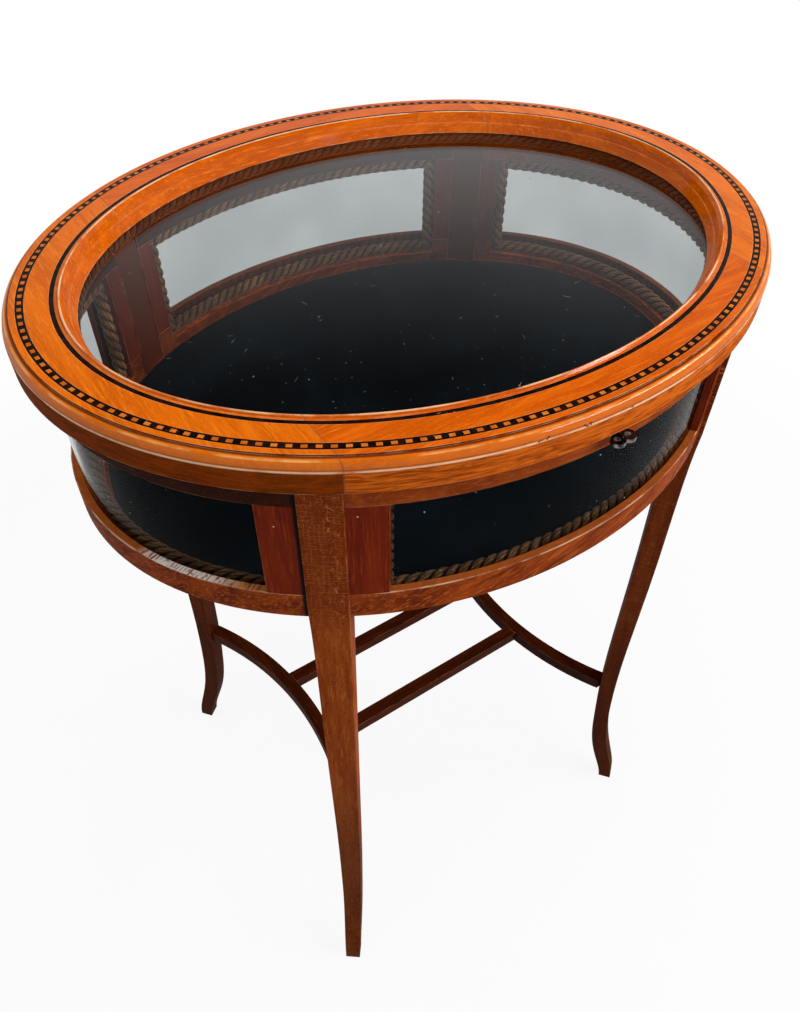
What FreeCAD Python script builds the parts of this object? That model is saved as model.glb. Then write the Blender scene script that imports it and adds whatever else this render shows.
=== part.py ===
import FreeCAD, Part
import math
import os
import Sketcher

# Oval glazed display table: four sabre legs with curved stretchers carry a case with
# bent panes, and a glazed inlaid lid opens on two hinges at the back.
# Frame: origin on the floor under the middle, +X along the oval, -Y the lock side, +Z up.

# Driving sizes, in millimetres and degrees
SIZES = {
    # Lid frame
    "table_height": 740.0,
    "lid_half_length": 285.0,
    "lid_half_width": 226.5,
    "lid_depth": 23.7,
    "lid_gap": 0.3,
    "lid_overhang": 10.5,
    "lid_rail_width": 35.0,
    "lid_joint_setback": 8.4,
    "fascia_height": 15.7,
    "arris_ledge": 0.4,
    "ovolo_width": 4.9,
    "ovolo_height": 6.8,
    "quirk_ledge": 0.6,
    # Inlay in the lid
    "inlay_depth": 1.2,
    "chequer_inset": 10.0,
    "chequer_width": 5.2,
    "tile_length": 3.6,
    "tile_width": 2.6,
    "tile_depth": 0.7,
    "tile_pitch": 8.0,
    "string_inset": 30.4,
    "string_width": 3.0,
    # Inner moulding, glass and cord of the lid
    "moulding_rise": 1.5,
    "moulding_depth": 15.5,
    "moulding_round": 1.3,
    "crest_width": 0.6,
    "ridge_width": 4.2,
    "ridge_fall": 3.0,
    "moulding_width": 9.5,
    "step_drop": 7.8,
    "step_setback": 5.9,
    "step_ledge": 0.7,
    "step_fall": 0.4,
    "lid_glass_thickness": 3.0,
    "lid_glass_clearance": 0.3,
    "lid_cord_diameter": 9.0,
    # Case
    "top_rail_depth": 21.0,
    "pane_height": 80.0,
    "bottom_rail_depth": 22.0,
    "rail_thickness": 20.0,
    "stile_width": 25.5,
    "rebate_depth": 13.5,
    "rebate_reach": 9.5,
    "glass_setback": 5.5,
    "glass_thickness": 2.0,
    "cord_diameter": 10.5,
    "cord_corner_radius": 8.0,
    "cord_clearance": 0.3,
    "cord_tolerance": 0.05,
    "base_setback": 4.0,
    "base_thickness": 5.0,
    "velvet_thickness": 1.5,
    # Legs and stretchers
    "leg_station": 49.8,
    "leg_skew": 5.0,
    "leg_proud": 2.0,
    "leg_width": 27.0,
    "leg_depth": 22.0,
    "foot_width": 15.5,
    "foot_depth": 14.5,
    "toe_sweep": 36.0,
    "stretcher_height": 200.0,
    "stretcher_side": 14.0,
    "stretcher_bow": 42.0,
    "long_stretcher_offset": 44.0,
    # Hinges
    "hinge_offset": 31.0,
    "hinge_length": 28.0,
    "hinge_backset": 3.2,
    "leaf_width": 14.0,
    "leaf_thickness": 1.5,
    "knuckle_radius": 3.0,
    "knuckle_clearance": 0.4,
    "knuckle_gap": 0.2,
    "pin_radius": 1.25,
    "pin_clearance": 0.05,
    "screw_inset": 3.5,
    "screw_head_radius": 2.0,
    "screw_head_depth": 0.8,
    "screw_shank_radius": 1.1,
    "screw_length": 8.0,
    # Lock, key and keyhole
    "lock_half_length": 18.0,
    "lock_setback": 5.0,
    "lock_thickness": 9.0,
    "lock_depth": 18.0,
    "lock_wall": 1.2,
    "key_drop": 11.0,
    "shank_radius": 1.5,
    "shank_clearance": 0.05,
    "bit_reach": 5.0,
    "bit_length": 4.0,
    "bit_thickness": 1.4,
    "collar_radius": 2.4,
    "collar_length": 2.5,
    "collar_gap": 0.3,
    "bow_reach": 5.0,
    "bow_lobe_radius": 5.0,
    "bow_hole_radius": 2.4,
    "bow_spread": 4.3,
    "bow_thickness": 2.8,
    "keyhole_radius": 2.2,
    "keyhole_slot": 2.4,
    "keyhole_drop": 6.0,
    "escutcheon_rim": 1.2,
    "escutcheon_depth": 1.6,
    "bolt_travel": 5.0,
    "bolt_height": 3.0,
    "bolt_drop": 4.0,
    "bolt_side_clearance": 0.3,
    "nose_length": 5.5,
    "nose_thickness": 3.0,
    "prong_width": 2.0,
    "prong_depth": 2.0,
    "notch_width": 6.6,
    "staple_clearance": 0.6,
    "staple_offset": 8.5,
    "staple_thickness": 2.0,
    "staple_width": 5.6,
    "staple_drop": 8.8,
    "staple_plate_half_length": 11.0,
    "staple_plate_width": 10.0,
    # How far cutting solids run past what they cut
    "overrun": 3.0,
}

# Leg stations from the case down to the floor: share of the free height, share of the
# toe's outward sweep, and shares of the way from foot to top for width and depth
LEG_STATION_SHARES = (
    (1.0, 0.0, 1.0, 1.0),
    (0.79, 0.01, 0.78, 0.67),
    (0.54, 0.045, 0.55, 0.42),
    (0.345, 0.1, 0.39, 0.33),
    (0.278, 0.165, 0.33, 0.33),
    (0.202, 0.285, 0.25, 0.38),
    (0.126, 0.52, 0.18, 0.52),
    (0.05, 0.87, 0.06, 0.33),
    (0.0, 1.0, 0.0, 0.0),
)

# Quarter-round stations of the lid's ovolo, as shares of a right angle
OVOLO_STATION_SHARES = (0.0, 0.25, 0.5, 0.75, 1.0)

# Halvings that place a cord's end on its oval
HALVINGS = 60

# Turn of each side from the back, and signs of each corner along X and Y
SIDES = {"front": 180.0, "back": 0.0, "left": 90.0, "right": 270.0}
CORNERS = {
    "front_left": (-1, -1),
    "front_right": (1, -1),
    "back_left": (-1, 1),
    "back_right": (1, 1),
}

doc = FreeCAD.newDocument("display_table")
sheet = doc.addObject("Spreadsheet::Sheet", "Sizes")
for row, (alias, number) in enumerate(SIZES.items(), start=1):
    sheet.set(f"A{row}", alias)
    sheet.set(f"B{row}", str(number))
    sheet.setAlias(f"B{row}", alias)
doc.recompute()

# Named heights and half axes, as expressions on the sheet
LID = ("Sizes.lid_half_length", "Sizes.lid_half_width")
CASE = ("(Sizes.lid_half_length - Sizes.lid_overhang)", "(Sizes.lid_half_width - Sizes.lid_overhang)")
LID_BOTTOM = "(Sizes.table_height - Sizes.lid_depth)"
CASE_TOP = f"({LID_BOTTOM} - Sizes.lid_gap)"
PANE_TOP = f"({CASE_TOP} - Sizes.top_rail_depth)"
SILL = f"({PANE_TOP} - Sizes.pane_height)"
CASE_BOTTOM = f"({SILL} - Sizes.bottom_rail_depth)"
CASE_DEPTH = f"({CASE_TOP} - {CASE_BOTTOM})"
REBATE_FLOOR = f"({SILL} - Sizes.rebate_depth)"
REBATE_HEIGHT = "(Sizes.pane_height + Sizes.rebate_depth)"
MOULDING_TOP = "(Sizes.table_height + Sizes.moulding_rise)"
MOULDING_BOTTOM = f"({MOULDING_TOP} - Sizes.moulding_depth)"
LID_GLASS_BOTTOM = f"({MOULDING_BOTTOM} - Sizes.lid_glass_thickness)"

# A leg stands at its station on the case's oval, a little proud of it and skewed towards the end
STATION_X = f"({CASE[0]} * cos(Sizes.leg_station))"
STATION_Y = f"({CASE[1]} * sin(Sizes.leg_station))"
SQUARE_TURN = f"atan({CASE[0]} * sin(Sizes.leg_station) / ({CASE[1]} * cos(Sizes.leg_station)))"
LEG_TURN = f"({SQUARE_TURN} - Sizes.leg_skew * 1 deg)"
LEG_X = f"({STATION_X} + Sizes.leg_proud * cos({LEG_TURN}))"
LEG_Y = f"({STATION_Y} + Sizes.leg_proud * sin({LEG_TURN}))"
LID_JOINT = f"({LEG_X} - Sizes.lid_joint_setback)"

HINGE_Y = f"({CASE[1]} + Sizes.hinge_backset)"
HINGE_Z = f"({CASE_TOP} + Sizes.lid_gap / 2)"
CASE_FRONT = f"(-{CASE[1]})"
KEY_Z = f"({CASE_TOP} - Sizes.key_drop)"
LOCK_Y = f"({CASE_FRONT} + Sizes.lock_setback)"
LOCK_MIDDLE = f"({LOCK_Y} + Sizes.lock_thickness / 2)"
LOCK_BASE = f"({CASE_TOP} - Sizes.lock_depth)"
CAVITY_THICKNESS = "(Sizes.lock_thickness - 2 * Sizes.lock_wall)"
BOLT_BASE = f"({CASE_TOP} - Sizes.bolt_drop - Sizes.bolt_height / 2)"

nodes = {}


def size(alias):
    """Current value of a driving size."""
    return float(getattr(sheet, alias))


def bind(obj, **expressions):
    """Ties properties to expressions; a double underscore in a name stands for a dot."""
    for name, expression in expressions.items():
        obj.setExpression(name.replace("__", "."), expression)
    return obj


def place(obj, x="0", y="0", z="0"):
    return bind(obj, Placement__Base__x=x, Placement__Base__y=y, Placement__Base__z=z)


def name_node(obj, node):
    obj.Label = node
    nodes[node] = obj
    return obj


def box(name, x, y, z, length, width, height):
    solid = bind(doc.addObject("Part::Box", name), Length=length, Width=width, Height=height)
    return place(solid, x, y, z)


def rod(name, axis, radius, length, x="0", y="0", z="0"):
    """Cylinder along a row axis from its starting point."""
    solid = bind(doc.addObject("Part::Cylinder", name), Radius=radius, Height=length)
    solid.Placement.Rotation = FreeCAD.Rotation(FreeCAD.Vector(0, 0, 1), axis)
    return place(solid, x, y, z)


def oval_edge(name, family, inset, height):
    edge = doc.addObject("Part::Ellipse", name)
    bind(edge, MajorRadius=f"{family[0]} - ({inset})", MinorRadius=f"{family[1]} - ({inset})")
    return place(edge, z=height)


def oval(name, family, inset, base, height):
    """Upright oval slab whose edge is set in from its family's oval."""
    solid = doc.addObject("Part::Extrusion", name)
    solid.Base = oval_edge(name + "_edge", family, inset, base)
    solid.DirMode = "Custom"
    solid.Dir = FreeCAD.Vector(0, 0, 1)
    solid.Solid = True
    return bind(solid, LengthFwd=height)


def oval_loft(name, family, stations, ruled):
    """Solid through ovals, each given by inset and height."""
    solid = doc.addObject("Part::Loft", name)
    solid.Sections = [
        oval_edge(f"{name}_edge_{index}", family, inset, height)
        for index, (inset, height) in enumerate(stations)
    ]
    solid.Solid = True
    solid.Ruled = ruled
    return solid


def cut(name, base, *tools):
    result = doc.addObject("Part::Cut", name)
    result.Base = base
    result.Tool = tools[0] if len(tools) == 1 else group(name + "_tools", *tools)
    return result


def common(name, base, tool):
    result = doc.addObject("Part::Common", name)
    result.Base = base
    result.Tool = tool
    return result


def fuse(name, *shapes):
    result = doc.addObject("Part::MultiFuse", name)
    result.Shapes = list(shapes)
    result.Refine = True
    return result


def group(name, *shapes):
    result = doc.addObject("Part::Compound", name)
    result.Links = list(shapes)
    return result


def oval_ring(name, family, outer, inner, base, height):
    return cut(
        name,
        oval(name + "_outer", family, outer, base, height),
        oval(name + "_inner", family, inner, base, height),
    )


def make_sector(side, turn):
    """Upright wedge from the middle through the two legs of one side."""
    sketch = doc.addObject("Sketcher::SketchObject", "sector_outline_" + side)
    origin = FreeCAD.Vector(0, 0, 0)
    left = FreeCAD.Vector(-size("lid_half_length"), size("lid_half_width"), 0)
    right = FreeCAD.Vector(size("lid_half_length"), size("lid_half_width"), 0)
    for start, end in ((origin, left), (left, right), (right, origin)):
        sketch.addGeometry(Part.LineSegment(start, end))
    sketch.addConstraint([
        Sketcher.Constraint("Coincident", 0, 1, -1, 1),
        Sketcher.Constraint("Coincident", 0, 2, 1, 1),
        Sketcher.Constraint("Coincident", 1, 2, 2, 1),
        Sketcher.Constraint("Coincident", 2, 2, -1, 1),
        Sketcher.Constraint("Symmetric", 1, 1, 1, 2, -2),
    ])
    spread = sketch.addConstraint(Sketcher.Constraint("DistanceX", 1, 1, 1, 2, right.x - left.x))
    reach = sketch.addConstraint(Sketcher.Constraint("DistanceY", -1, 1, 1, 1, left.y))
    along, across = (LEG_X, LEG_Y) if side in ("front", "back") else (LEG_Y, LEG_X)
    sketch.setExpression(f"Constraints[{reach}]", "2 * Sizes.lid_half_length")
    sketch.setExpression(f"Constraints[{spread}]", f"4 * Sizes.lid_half_length * {along} / {across}")
    sketch.Placement.Rotation = FreeCAD.Rotation(FreeCAD.Vector(0, 0, 1), turn)
    solid = doc.addObject("Part::Extrusion", "sector_" + side)
    solid.Base = sketch
    solid.DirMode = "Custom"
    solid.Dir = FreeCAD.Vector(0, 0, 1)
    solid.Solid = True
    return bind(solid, LengthFwd="2 * Sizes.table_height")


def corner_turn(corner):
    """Direction a leg faces, as an expression in degrees from +X."""
    along, across = CORNERS[corner]
    half_turn = "180 deg" if along < 0 else "0 deg"
    return f"{half_turn} + ({along * across}) * {LEG_TURN}"


def set_in_corner(obj, corner, outward="0", sideways="0", height="0"):
    """Places an object in the frame of a leg: outward from its face and to its left."""
    along, across = CORNERS[corner]
    cosine = f"({along}) * cos({LEG_TURN})"
    sine = f"({across}) * sin({LEG_TURN})"
    obj.Placement.Rotation = FreeCAD.Rotation(FreeCAD.Vector(0, 0, 1), 1)
    place(
        obj,
        x=f"({along}) * {LEG_X} + ({outward}) * {cosine} - ({sideways}) * {sine}",
        y=f"({across}) * {LEG_Y} + ({outward}) * {sine} + ({sideways}) * {cosine}",
        z=height,
    )
    return bind(obj, Placement__Rotation__Angle=corner_turn(corner))


def leg_section(body, index, shares):
    """Rectangular station of a leg, measured from the middle of its top."""
    height, sweep, width, depth = shares
    plane = next(feature for feature in body.Origin.OriginFeatures if feature.Role == "XY_Plane")
    sketch = body.newObject("Sketcher::SketchObject", f"{body.Name}_station_{index}")
    sketch.AttachmentSupport = [(plane, "")]
    sketch.MapMode = "FlatFace"
    bind(sketch, AttachmentOffset__Base__z=f"{height} * {CASE_BOTTOM}")
    half_depth = size("leg_depth") / 2
    half_width = size("leg_width") / 2
    corners = [
        FreeCAD.Vector(half_depth, -half_width, 0),
        FreeCAD.Vector(half_depth, half_width, 0),
        FreeCAD.Vector(-half_depth, half_width, 0),
        FreeCAD.Vector(-half_depth, -half_width, 0),
    ]
    for start, end in zip(corners, corners[1:] + corners[:1]):
        sketch.addGeometry(Part.LineSegment(start, end))
    sketch.addConstraint([Sketcher.Constraint("Coincident", i, 2, (i + 1) % 4, 1) for i in range(4)])
    sketch.addConstraint([
        Sketcher.Constraint("Horizontal", 1),
        Sketcher.Constraint("Vertical", 2),
        Sketcher.Constraint("Horizontal", 3),
        Sketcher.Constraint("Symmetric", 0, 1, 0, 2, -1),
    ])
    reach = sketch.addConstraint(Sketcher.Constraint("DistanceX", -1, 1, 0, 1, half_depth))
    deep = sketch.addConstraint(Sketcher.Constraint("DistanceX", 1, 2, 1, 1, 2 * half_depth))
    wide = sketch.addConstraint(Sketcher.Constraint("DistanceY", 0, 1, 0, 2, 2 * half_width))
    sketch.setExpression(f"Constraints[{reach}]", f"Sizes.leg_depth / 2 + {sweep} * Sizes.toe_sweep")
    taper = "Sizes.foot_{0} + {1} * (Sizes.leg_{0} - Sizes.foot_{0})"
    sketch.setExpression(f"Constraints[{deep}]", taper.format("depth", depth))
    sketch.setExpression(f"Constraints[{wide}]", taper.format("width", width))
    return sketch


def make_leg(corner):
    """Sabre leg: a square block in the case, tapering to an out-swept foot."""
    body = doc.addObject("PartDesign::Body", "leg_" + corner)
    sections = [leg_section(body, i, shares) for i, shares in enumerate(LEG_STATION_SHARES)]
    doc.recompute()
    shaft = body.newObject("PartDesign::AdditiveLoft", "shaft_" + corner)
    shaft.Profile = sections[0]
    shaft.Sections = sections[1:]
    block = body.newObject("PartDesign::Pad", "block_" + corner)
    block.Profile = sections[0]
    bind(block, Length=CASE_DEPTH)
    body.Tip = block
    set_in_corner(body, corner, outward="-Sizes.leg_depth / 2")
    return name_node(body, "leg_" + corner)


def make_stretchers(legs):
    """Two bowed end stretchers between the legs, joined by two straight long ones."""
    end_x = f"({LEG_X} - Sizes.leg_depth / 2 * cos({LEG_TURN}))"
    end_y = f"({LEG_Y} - Sizes.leg_depth / 2 * sin({LEG_TURN}))"
    bow = "Sizes.stretcher_bow"
    bow_radius = f"(({end_y} * {end_y} + {bow} * {bow}) / (2 * {bow}))"
    middle_x = f"({end_x} - {bow})"
    base = "Sizes.stretcher_height - Sizes.stretcher_side / 2"
    side = "Sizes.stretcher_side"
    ends = []
    for end, sign in (("left", -1), ("right", 1)):
        name = "end_stretcher_" + end
        centre = f"({sign}) * ({middle_x} + {bow_radius})"
        up = FreeCAD.Vector(0, 0, 1)
        outer = rod(name + "_outer", up, f"{bow_radius} + {side} / 2", side, x=centre, z=base)
        inner = rod(name + "_inner", up, f"{bow_radius} - {side} / 2", side, x=centre, z=base)
        corner_x = f"{middle_x} - {side}" if sign > 0 else f"-({end_x} + {side})"
        reach = box(
            name + "_reach", corner_x, f"-{end_y}", base,
            f"{bow} + 2 * {side}", f"2 * {end_y}", side,
        )
        arc = common(name + "_arc", cut(name + "_ring", outer, inner), reach)
        stretcher = cut(name, arc, legs["front_" + end], legs["back_" + end])
        ends.append(name_node(stretcher, name))
    offset = "Sizes.long_stretcher_offset"
    half_length = f"({middle_x} + {offset} * {offset} / (2 * {bow_radius}))"
    for place_name, sign in (("front", -1), ("back", 1)):
        name = "long_stretcher_" + place_name
        bar = box(
            name + "_bar", f"-{half_length}", f"({sign}) * {offset} - {side} / 2", base,
            f"2 * {half_length}", side, side,
        )
        name_node(cut(name, bar, *ends), name)


def make_corner_block(name, corner, side_reach):
    """Upright block round a leg, as wide as the reach to each side of it."""
    reach = "Sizes.rail_thickness * 2"
    block = doc.addObject("Part::Box", f"{name}_{corner}")
    bind(block, Length=f"2 * {reach}", Width=f"2 * {side_reach}", Height=CASE_DEPTH)
    return set_in_corner(block, corner, f"-({reach})", f"-{side_reach}", CASE_BOTTOM)


def make_case(legs, sectors):
    """Rails, stiles, panes and base between the legs."""
    thickness = "Sizes.rail_thickness"
    setback = "Sizes.glass_setback"
    bottom_ring = oval_ring("bottom_ring", CASE, "0", thickness, CASE_BOTTOM, "Sizes.bottom_rail_depth")
    top_ring = oval_ring("top_ring", CASE, "0", thickness, PANE_TOP, "Sizes.top_rail_depth")
    stile_ring = oval_ring("stile_ring", CASE, "0", thickness, SILL, "Sizes.pane_height")
    pane_back = f"{setback} + Sizes.glass_thickness"
    pane_ring = oval_ring("pane_ring", CASE, setback, pane_back, REBATE_FLOOR, REBATE_HEIGHT)
    rebate_ring = oval_ring(
        "rebate_ring", CASE, setback, f"{thickness} + Sizes.overrun",
        REBATE_FLOOR, f"{REBATE_HEIGHT} + Sizes.overrun",
    )
    stile_reach = "(Sizes.leg_width / 2 + Sizes.stile_width)"
    rebate_end = "(Sizes.leg_width / 2 + Sizes.stile_width - Sizes.rebate_reach)"
    slots = {corner: make_corner_block("leg_slot", corner, "(Sizes.leg_width / 2)") for corner in CORNERS}
    stile_blocks = {corner: make_corner_block("stile_block", corner, stile_reach) for corner in CORNERS}
    rebate_blocks = {corner: make_corner_block("rebate_block", corner, rebate_end) for corner in CORNERS}
    rails = {}
    rebates = {}
    for side, sector in sectors.items():
        ends = [corner for corner in CORNERS if side in corner.split("_")]
        side_slots = [slots[corner] for corner in ends]
        blocks = [rebate_blocks[corner] for corner in ends]
        rebates[side] = cut("rebate_" + side, common("rebate_arc_" + side, rebate_ring, sector), *blocks)
        bottom_arc = common("bottom_arc_" + side, bottom_ring, sector)
        name_node(cut("bottom_rail_" + side, bottom_arc, rebates[side], *side_slots), "bottom_rail_" + side)
        rails[side] = cut("top_rail_blank_" + side, common("top_arc_" + side, top_ring, sector), *side_slots)
        pane = cut("side_glass_" + side, common("pane_arc_" + side, pane_ring, sector), *blocks)
        name_node(pane, "side_glass_" + side)
    for corner, slot in slots.items():
        arc = common("corner_arc_" + corner, stile_ring, stile_blocks[corner])
        frame = cut("corner_frame_" + corner, arc, slot)
        depth_side, end_side = corner.split("_")
        for side, other in ((depth_side, end_side), (end_side, depth_side)):
            node = f"stile_{side}_{other}"
            blank = common(node + "_blank", frame, sectors[side])
            name_node(cut(node, blank, rebates[side]), node)
    base_bottom = f"{CASE_BOTTOM} - Sizes.base_thickness"
    layers = (
        ("base_board", "Sizes.base_setback", base_bottom, "Sizes.base_thickness"),
        ("velvet_lining", thickness, CASE_BOTTOM, "Sizes.velvet_thickness"),
    )
    for node, inset, layer_base, layer_thickness in layers:
        blank = oval(node + "_blank", CASE, inset, layer_base, layer_thickness)
        name_node(cut(node, blank, *legs.values()), node)
    return rails


def make_lid_bay(side):
    """Upright block round one side of the lid's frame, ending square at its joints."""
    past = "Sizes.overrun"
    half_length = f"({LID[0]} + {past})"
    half_width = f"({LID[1]} + {past})"
    x, length = f"-{LID_JOINT}", f"2 * {LID_JOINT}"
    y, width = f"-{half_width}", f"2 * {half_width}"
    if side in ("left", "right"):
        x = f"-{half_length}" if side == "left" else LID_JOINT
        length = f"{half_length} - {LID_JOINT}"
    else:
        y = f"-{half_width}" if side == "front" else "0"
        width = half_width
    depth = f"Sizes.lid_depth + Sizes.moulding_rise + 2 * {past}"
    return box("lid_bay_" + side, x, y, f"{LID_BOTTOM} - {past}", length, width, depth)


def make_lid():
    """Four jointed rails with an ovolo edge, an inner moulding and the inlaid bands."""
    fascia = oval("lid_fascia", LID, "0", LID_BOTTOM, "Sizes.fascia_height")
    ovolo_base = f"({LID_BOTTOM} + Sizes.fascia_height)"
    stations = []
    for share in OVOLO_STATION_SHARES:
        angle = f"({share} * 90)"
        inset = f"Sizes.arris_ledge + Sizes.ovolo_width * (1 - cos({angle}))"
        stations.append((inset, f"{ovolo_base} + Sizes.ovolo_height * sin({angle})"))
    ovolo = oval_loft("lid_ovolo", LID, stations, False)
    quirk_height = "(Sizes.lid_depth - Sizes.fascia_height - Sizes.ovolo_height)"
    quirk_inset = "Sizes.arris_ledge + Sizes.ovolo_width + Sizes.quirk_ledge"
    flat = oval("lid_flat", LID, quirk_inset, f"Sizes.table_height - {quirk_height}", quirk_height)
    inlay_base = "Sizes.table_height - Sizes.inlay_depth"
    depth = "Sizes.inlay_depth"
    band_end = "Sizes.chequer_inset + Sizes.chequer_width"
    band = oval_ring("chequer_blank", LID, "Sizes.chequer_inset", band_end, inlay_base, depth)
    string_end = "Sizes.string_inset + Sizes.string_width"
    string = oval_ring("string_line", LID, "Sizes.string_inset", string_end, inlay_base, depth)
    name_node(string, "string_line")
    opening = oval("lid_opening", LID, "Sizes.lid_rail_width", LID_BOTTOM, "Sizes.lid_depth")
    frame = cut("lid_frame", fuse("lid_blank", fascia, ovolo, flat), opening, band, string)
    bays = {side: make_lid_bay(side) for side in SIDES}
    rails = {side: common("lid_rail_blank_" + side, frame, bay) for side, bay in bays.items()}

    straight = "Sizes.moulding_depth - Sizes.moulding_rise"
    block = oval("moulding_block", LID, "Sizes.lid_rail_width", MOULDING_BOTTOM, straight)
    ridge_inset = "Sizes.lid_rail_width + Sizes.moulding_round"
    crown = oval_loft(
        "moulding_crown", LID,
        (("Sizes.lid_rail_width", "Sizes.table_height"), (ridge_inset, MOULDING_TOP)), True,
    )
    step_inset = "Sizes.lid_rail_width + Sizes.step_setback"
    step_height = f"{MOULDING_TOP} - Sizes.step_drop"
    slope = oval_loft(
        "moulding_slope", LID,
        (
            ("Sizes.lid_rail_width + Sizes.moulding_width", MOULDING_BOTTOM),
            (f"{step_inset} + Sizes.step_ledge", f"{step_height} - Sizes.step_fall"),
            (step_inset, step_height),
            ("Sizes.lid_rail_width + Sizes.ridge_width", f"{MOULDING_TOP} - Sizes.ridge_fall"),
            (f"{ridge_inset} + Sizes.crest_width", MOULDING_TOP),
        ),
        True,
    )
    moulding = cut("moulding_ring", fuse("moulding_blank", block, crown), slope)
    for side, bay in bays.items():
        name_node(common("lid_moulding_" + side, moulding, bay), "lid_moulding_" + side)

    glass_inset = "Sizes.lid_rail_width + Sizes.lid_glass_clearance"
    glass = oval("lid_glass", LID, glass_inset, LID_GLASS_BOTTOM, "Sizes.lid_glass_thickness")
    name_node(glass, "lid_glass")
    return rails, band


def make_chequer(band):
    """Light tiles at an even pitch along the middle of the dark band."""
    middle = size("chequer_inset") + size("chequer_width") / 2
    half_length = size("lid_half_length") - middle
    half_width = size("lid_half_width") - middle
    base = size("table_height") - size("tile_depth")
    path = Part.Ellipse(FreeCAD.Vector(0, 0, base), half_length, half_width)
    count = round(path.length() / size("tile_pitch"))
    length, width, depth = size("tile_length"), size("tile_width"), size("tile_depth")
    tiles = []
    for index in range(count):
        angle = path.parameterAtDistance(path.length() * index / count, 0)
        direction = path.tangent(angle)[0]
        tile = Part.makeBox(length, width, depth, FreeCAD.Vector(-length / 2, -width / 2, 0))
        turn = FreeCAD.Rotation(FreeCAD.Vector(1, 0, 0), direction)
        tile.Placement = FreeCAD.Placement(path.value(angle), turn)
        tiles.append(tile)
    inlay = doc.addObject("Part::Feature", "chequer_tiles")
    inlay.Shape = Part.makeCompound(tiles)
    name_node(inlay, "chequer_tiles")
    name_node(cut("chequer_band", band, inlay), "chequer_band")


def sheet_value(expression):
    """Value of an expression on the sheet; angles come back in radians."""
    value = sheet.evalExpression(expression)
    if getattr(value, "Unit", None) == FreeCAD.Units.Angle:
        return math.radians(value.Value)
    return float(value)


def pane_spread(side, half_length, half_width, reach):
    """Angle of the oval from a side's middle to the point that lies a reach beside its leg."""
    leg_x, leg_y, turn = (sheet_value(expression) for expression in (LEG_X, LEG_Y, LEG_TURN))
    middle = math.pi / 2 if side in ("front", "back") else 0.0
    near = middle
    far = math.radians(size("leg_station"))
    for _ in range(HALVINGS):
        angle = (near + far) / 2
        x = half_length * math.cos(angle) - leg_x
        y = half_width * math.sin(angle) - leg_y
        if abs(y * math.cos(turn) - x * math.sin(turn)) > reach:
            near = angle
        else:
            far = angle
    return abs(middle - near)


def oval_arcs(curve):
    """Circular arcs that closely follow an oval or a stretch of one."""
    return [arc.toShape() for arc in curve.toNurbs().toBiArcs(size("cord_tolerance"))]


def make_cord(node, edges, radius):
    """Round cord along a closed run of edges."""
    first = edges[0]
    start = first.FirstParameter
    section = Part.Circle(first.valueAt(start), first.tangentAt(start), radius)
    cord = doc.addObject("Part::Feature", node)
    cord.Shape = Part.Wire(edges).makePipeShell([Part.Wire(section.toShape())], True, False)
    name_node(cord, node)


def make_lid_cord():
    """Cord glued under the lid glass, all round its edge."""
    radius = size("lid_cord_diameter") / 2
    reach = radius + size("cord_clearance")
    inset = size("lid_rail_width") + reach
    centre = FreeCAD.Vector(0, 0, sheet_value(LID_GLASS_BOTTOM) - reach)
    path = Part.Ellipse(centre, size("lid_half_length") - inset, size("lid_half_width") - inset)
    make_cord("lid_cord", oval_arcs(path), radius)


def upright_end(start, outward, bend, rise):
    """Edges of a cord's upright past an arc's end, with a quarter bend at its foot and head."""
    up = FreeCAD.Vector(0, 0, 1)
    corner = start + outward * bend
    foot = corner + up * bend
    head = corner + up * (rise - bend)
    bulge = (outward - up) * (bend * math.sqrt(0.5))
    foot_centre = start + up * bend
    head_centre = start + up * (rise - bend)
    return [
        Part.Arc(start, foot_centre + bulge, foot).toShape(),
        Part.LineSegment(foot, head).toShape(),
        Part.Arc(head, head_centre + bulge + up * (bend * math.sqrt(2)), start + up * rise).toShape(),
    ]


def make_glazing_cord(side):
    """Cord glued round the inside of one pane, as one closed tube with tight corners."""
    radius = size("cord_diameter") / 2
    reach = radius + size("cord_clearance")
    bend = size("cord_corner_radius")
    inset = size("lid_overhang") + size("glass_setback") + size("glass_thickness") + reach
    half_length = size("lid_half_length") - inset
    half_width = size("lid_half_width") - inset
    beside_leg = size("leg_width") / 2 + size("stile_width") - size("rebate_reach") + reach + bend
    spread = pane_spread(side, half_length, half_width, beside_leg)
    middle = math.radians(SIDES[side]) + math.pi / 2
    first = middle - spread
    last = middle + spread
    rise = sheet_value(REBATE_HEIGHT) - 2 * reach
    path = Part.Ellipse(FreeCAD.Vector(0, 0, sheet_value(REBATE_FLOOR) + reach), half_length, half_width)
    foot = oval_arcs(Part.ArcOfEllipse(path, first, last))
    head = [edge.translated(FreeCAD.Vector(0, 0, rise)) for edge in foot]
    last_end = upright_end(path.value(last), path.tangent(last)[0], bend, rise)
    first_end = upright_end(path.value(first), path.tangent(first)[0] * -1, bend, rise)
    make_cord("glazing_cord_" + side, foot + last_end + head[::-1] + first_end[::-1], radius)


def make_screw(name, leaf, x):
    """Flush screw of a hinge leaf: down into the case or up into the lid."""
    direction = FreeCAD.Vector(0, 0, -1 if leaf == "case" else 1)
    face = CASE_TOP if leaf == "case" else LID_BOTTOM
    y = f"{HINGE_Y} - Sizes.leaf_width + Sizes.screw_inset"
    head = rod(name + "_head", direction, "Sizes.screw_head_radius", "Sizes.screw_head_depth", x, y, face)
    shank = rod(name + "_shank", direction, "Sizes.screw_shank_radius", "Sizes.screw_length", x, y, face)
    return fuse(name, head, shank)


def hinge_rod(name, radius, start, length):
    """Cylinder on the hinge axis."""
    return rod(name, FreeCAD.Vector(1, 0, 0), radius, length, start, HINGE_Y, HINGE_Z)


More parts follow.
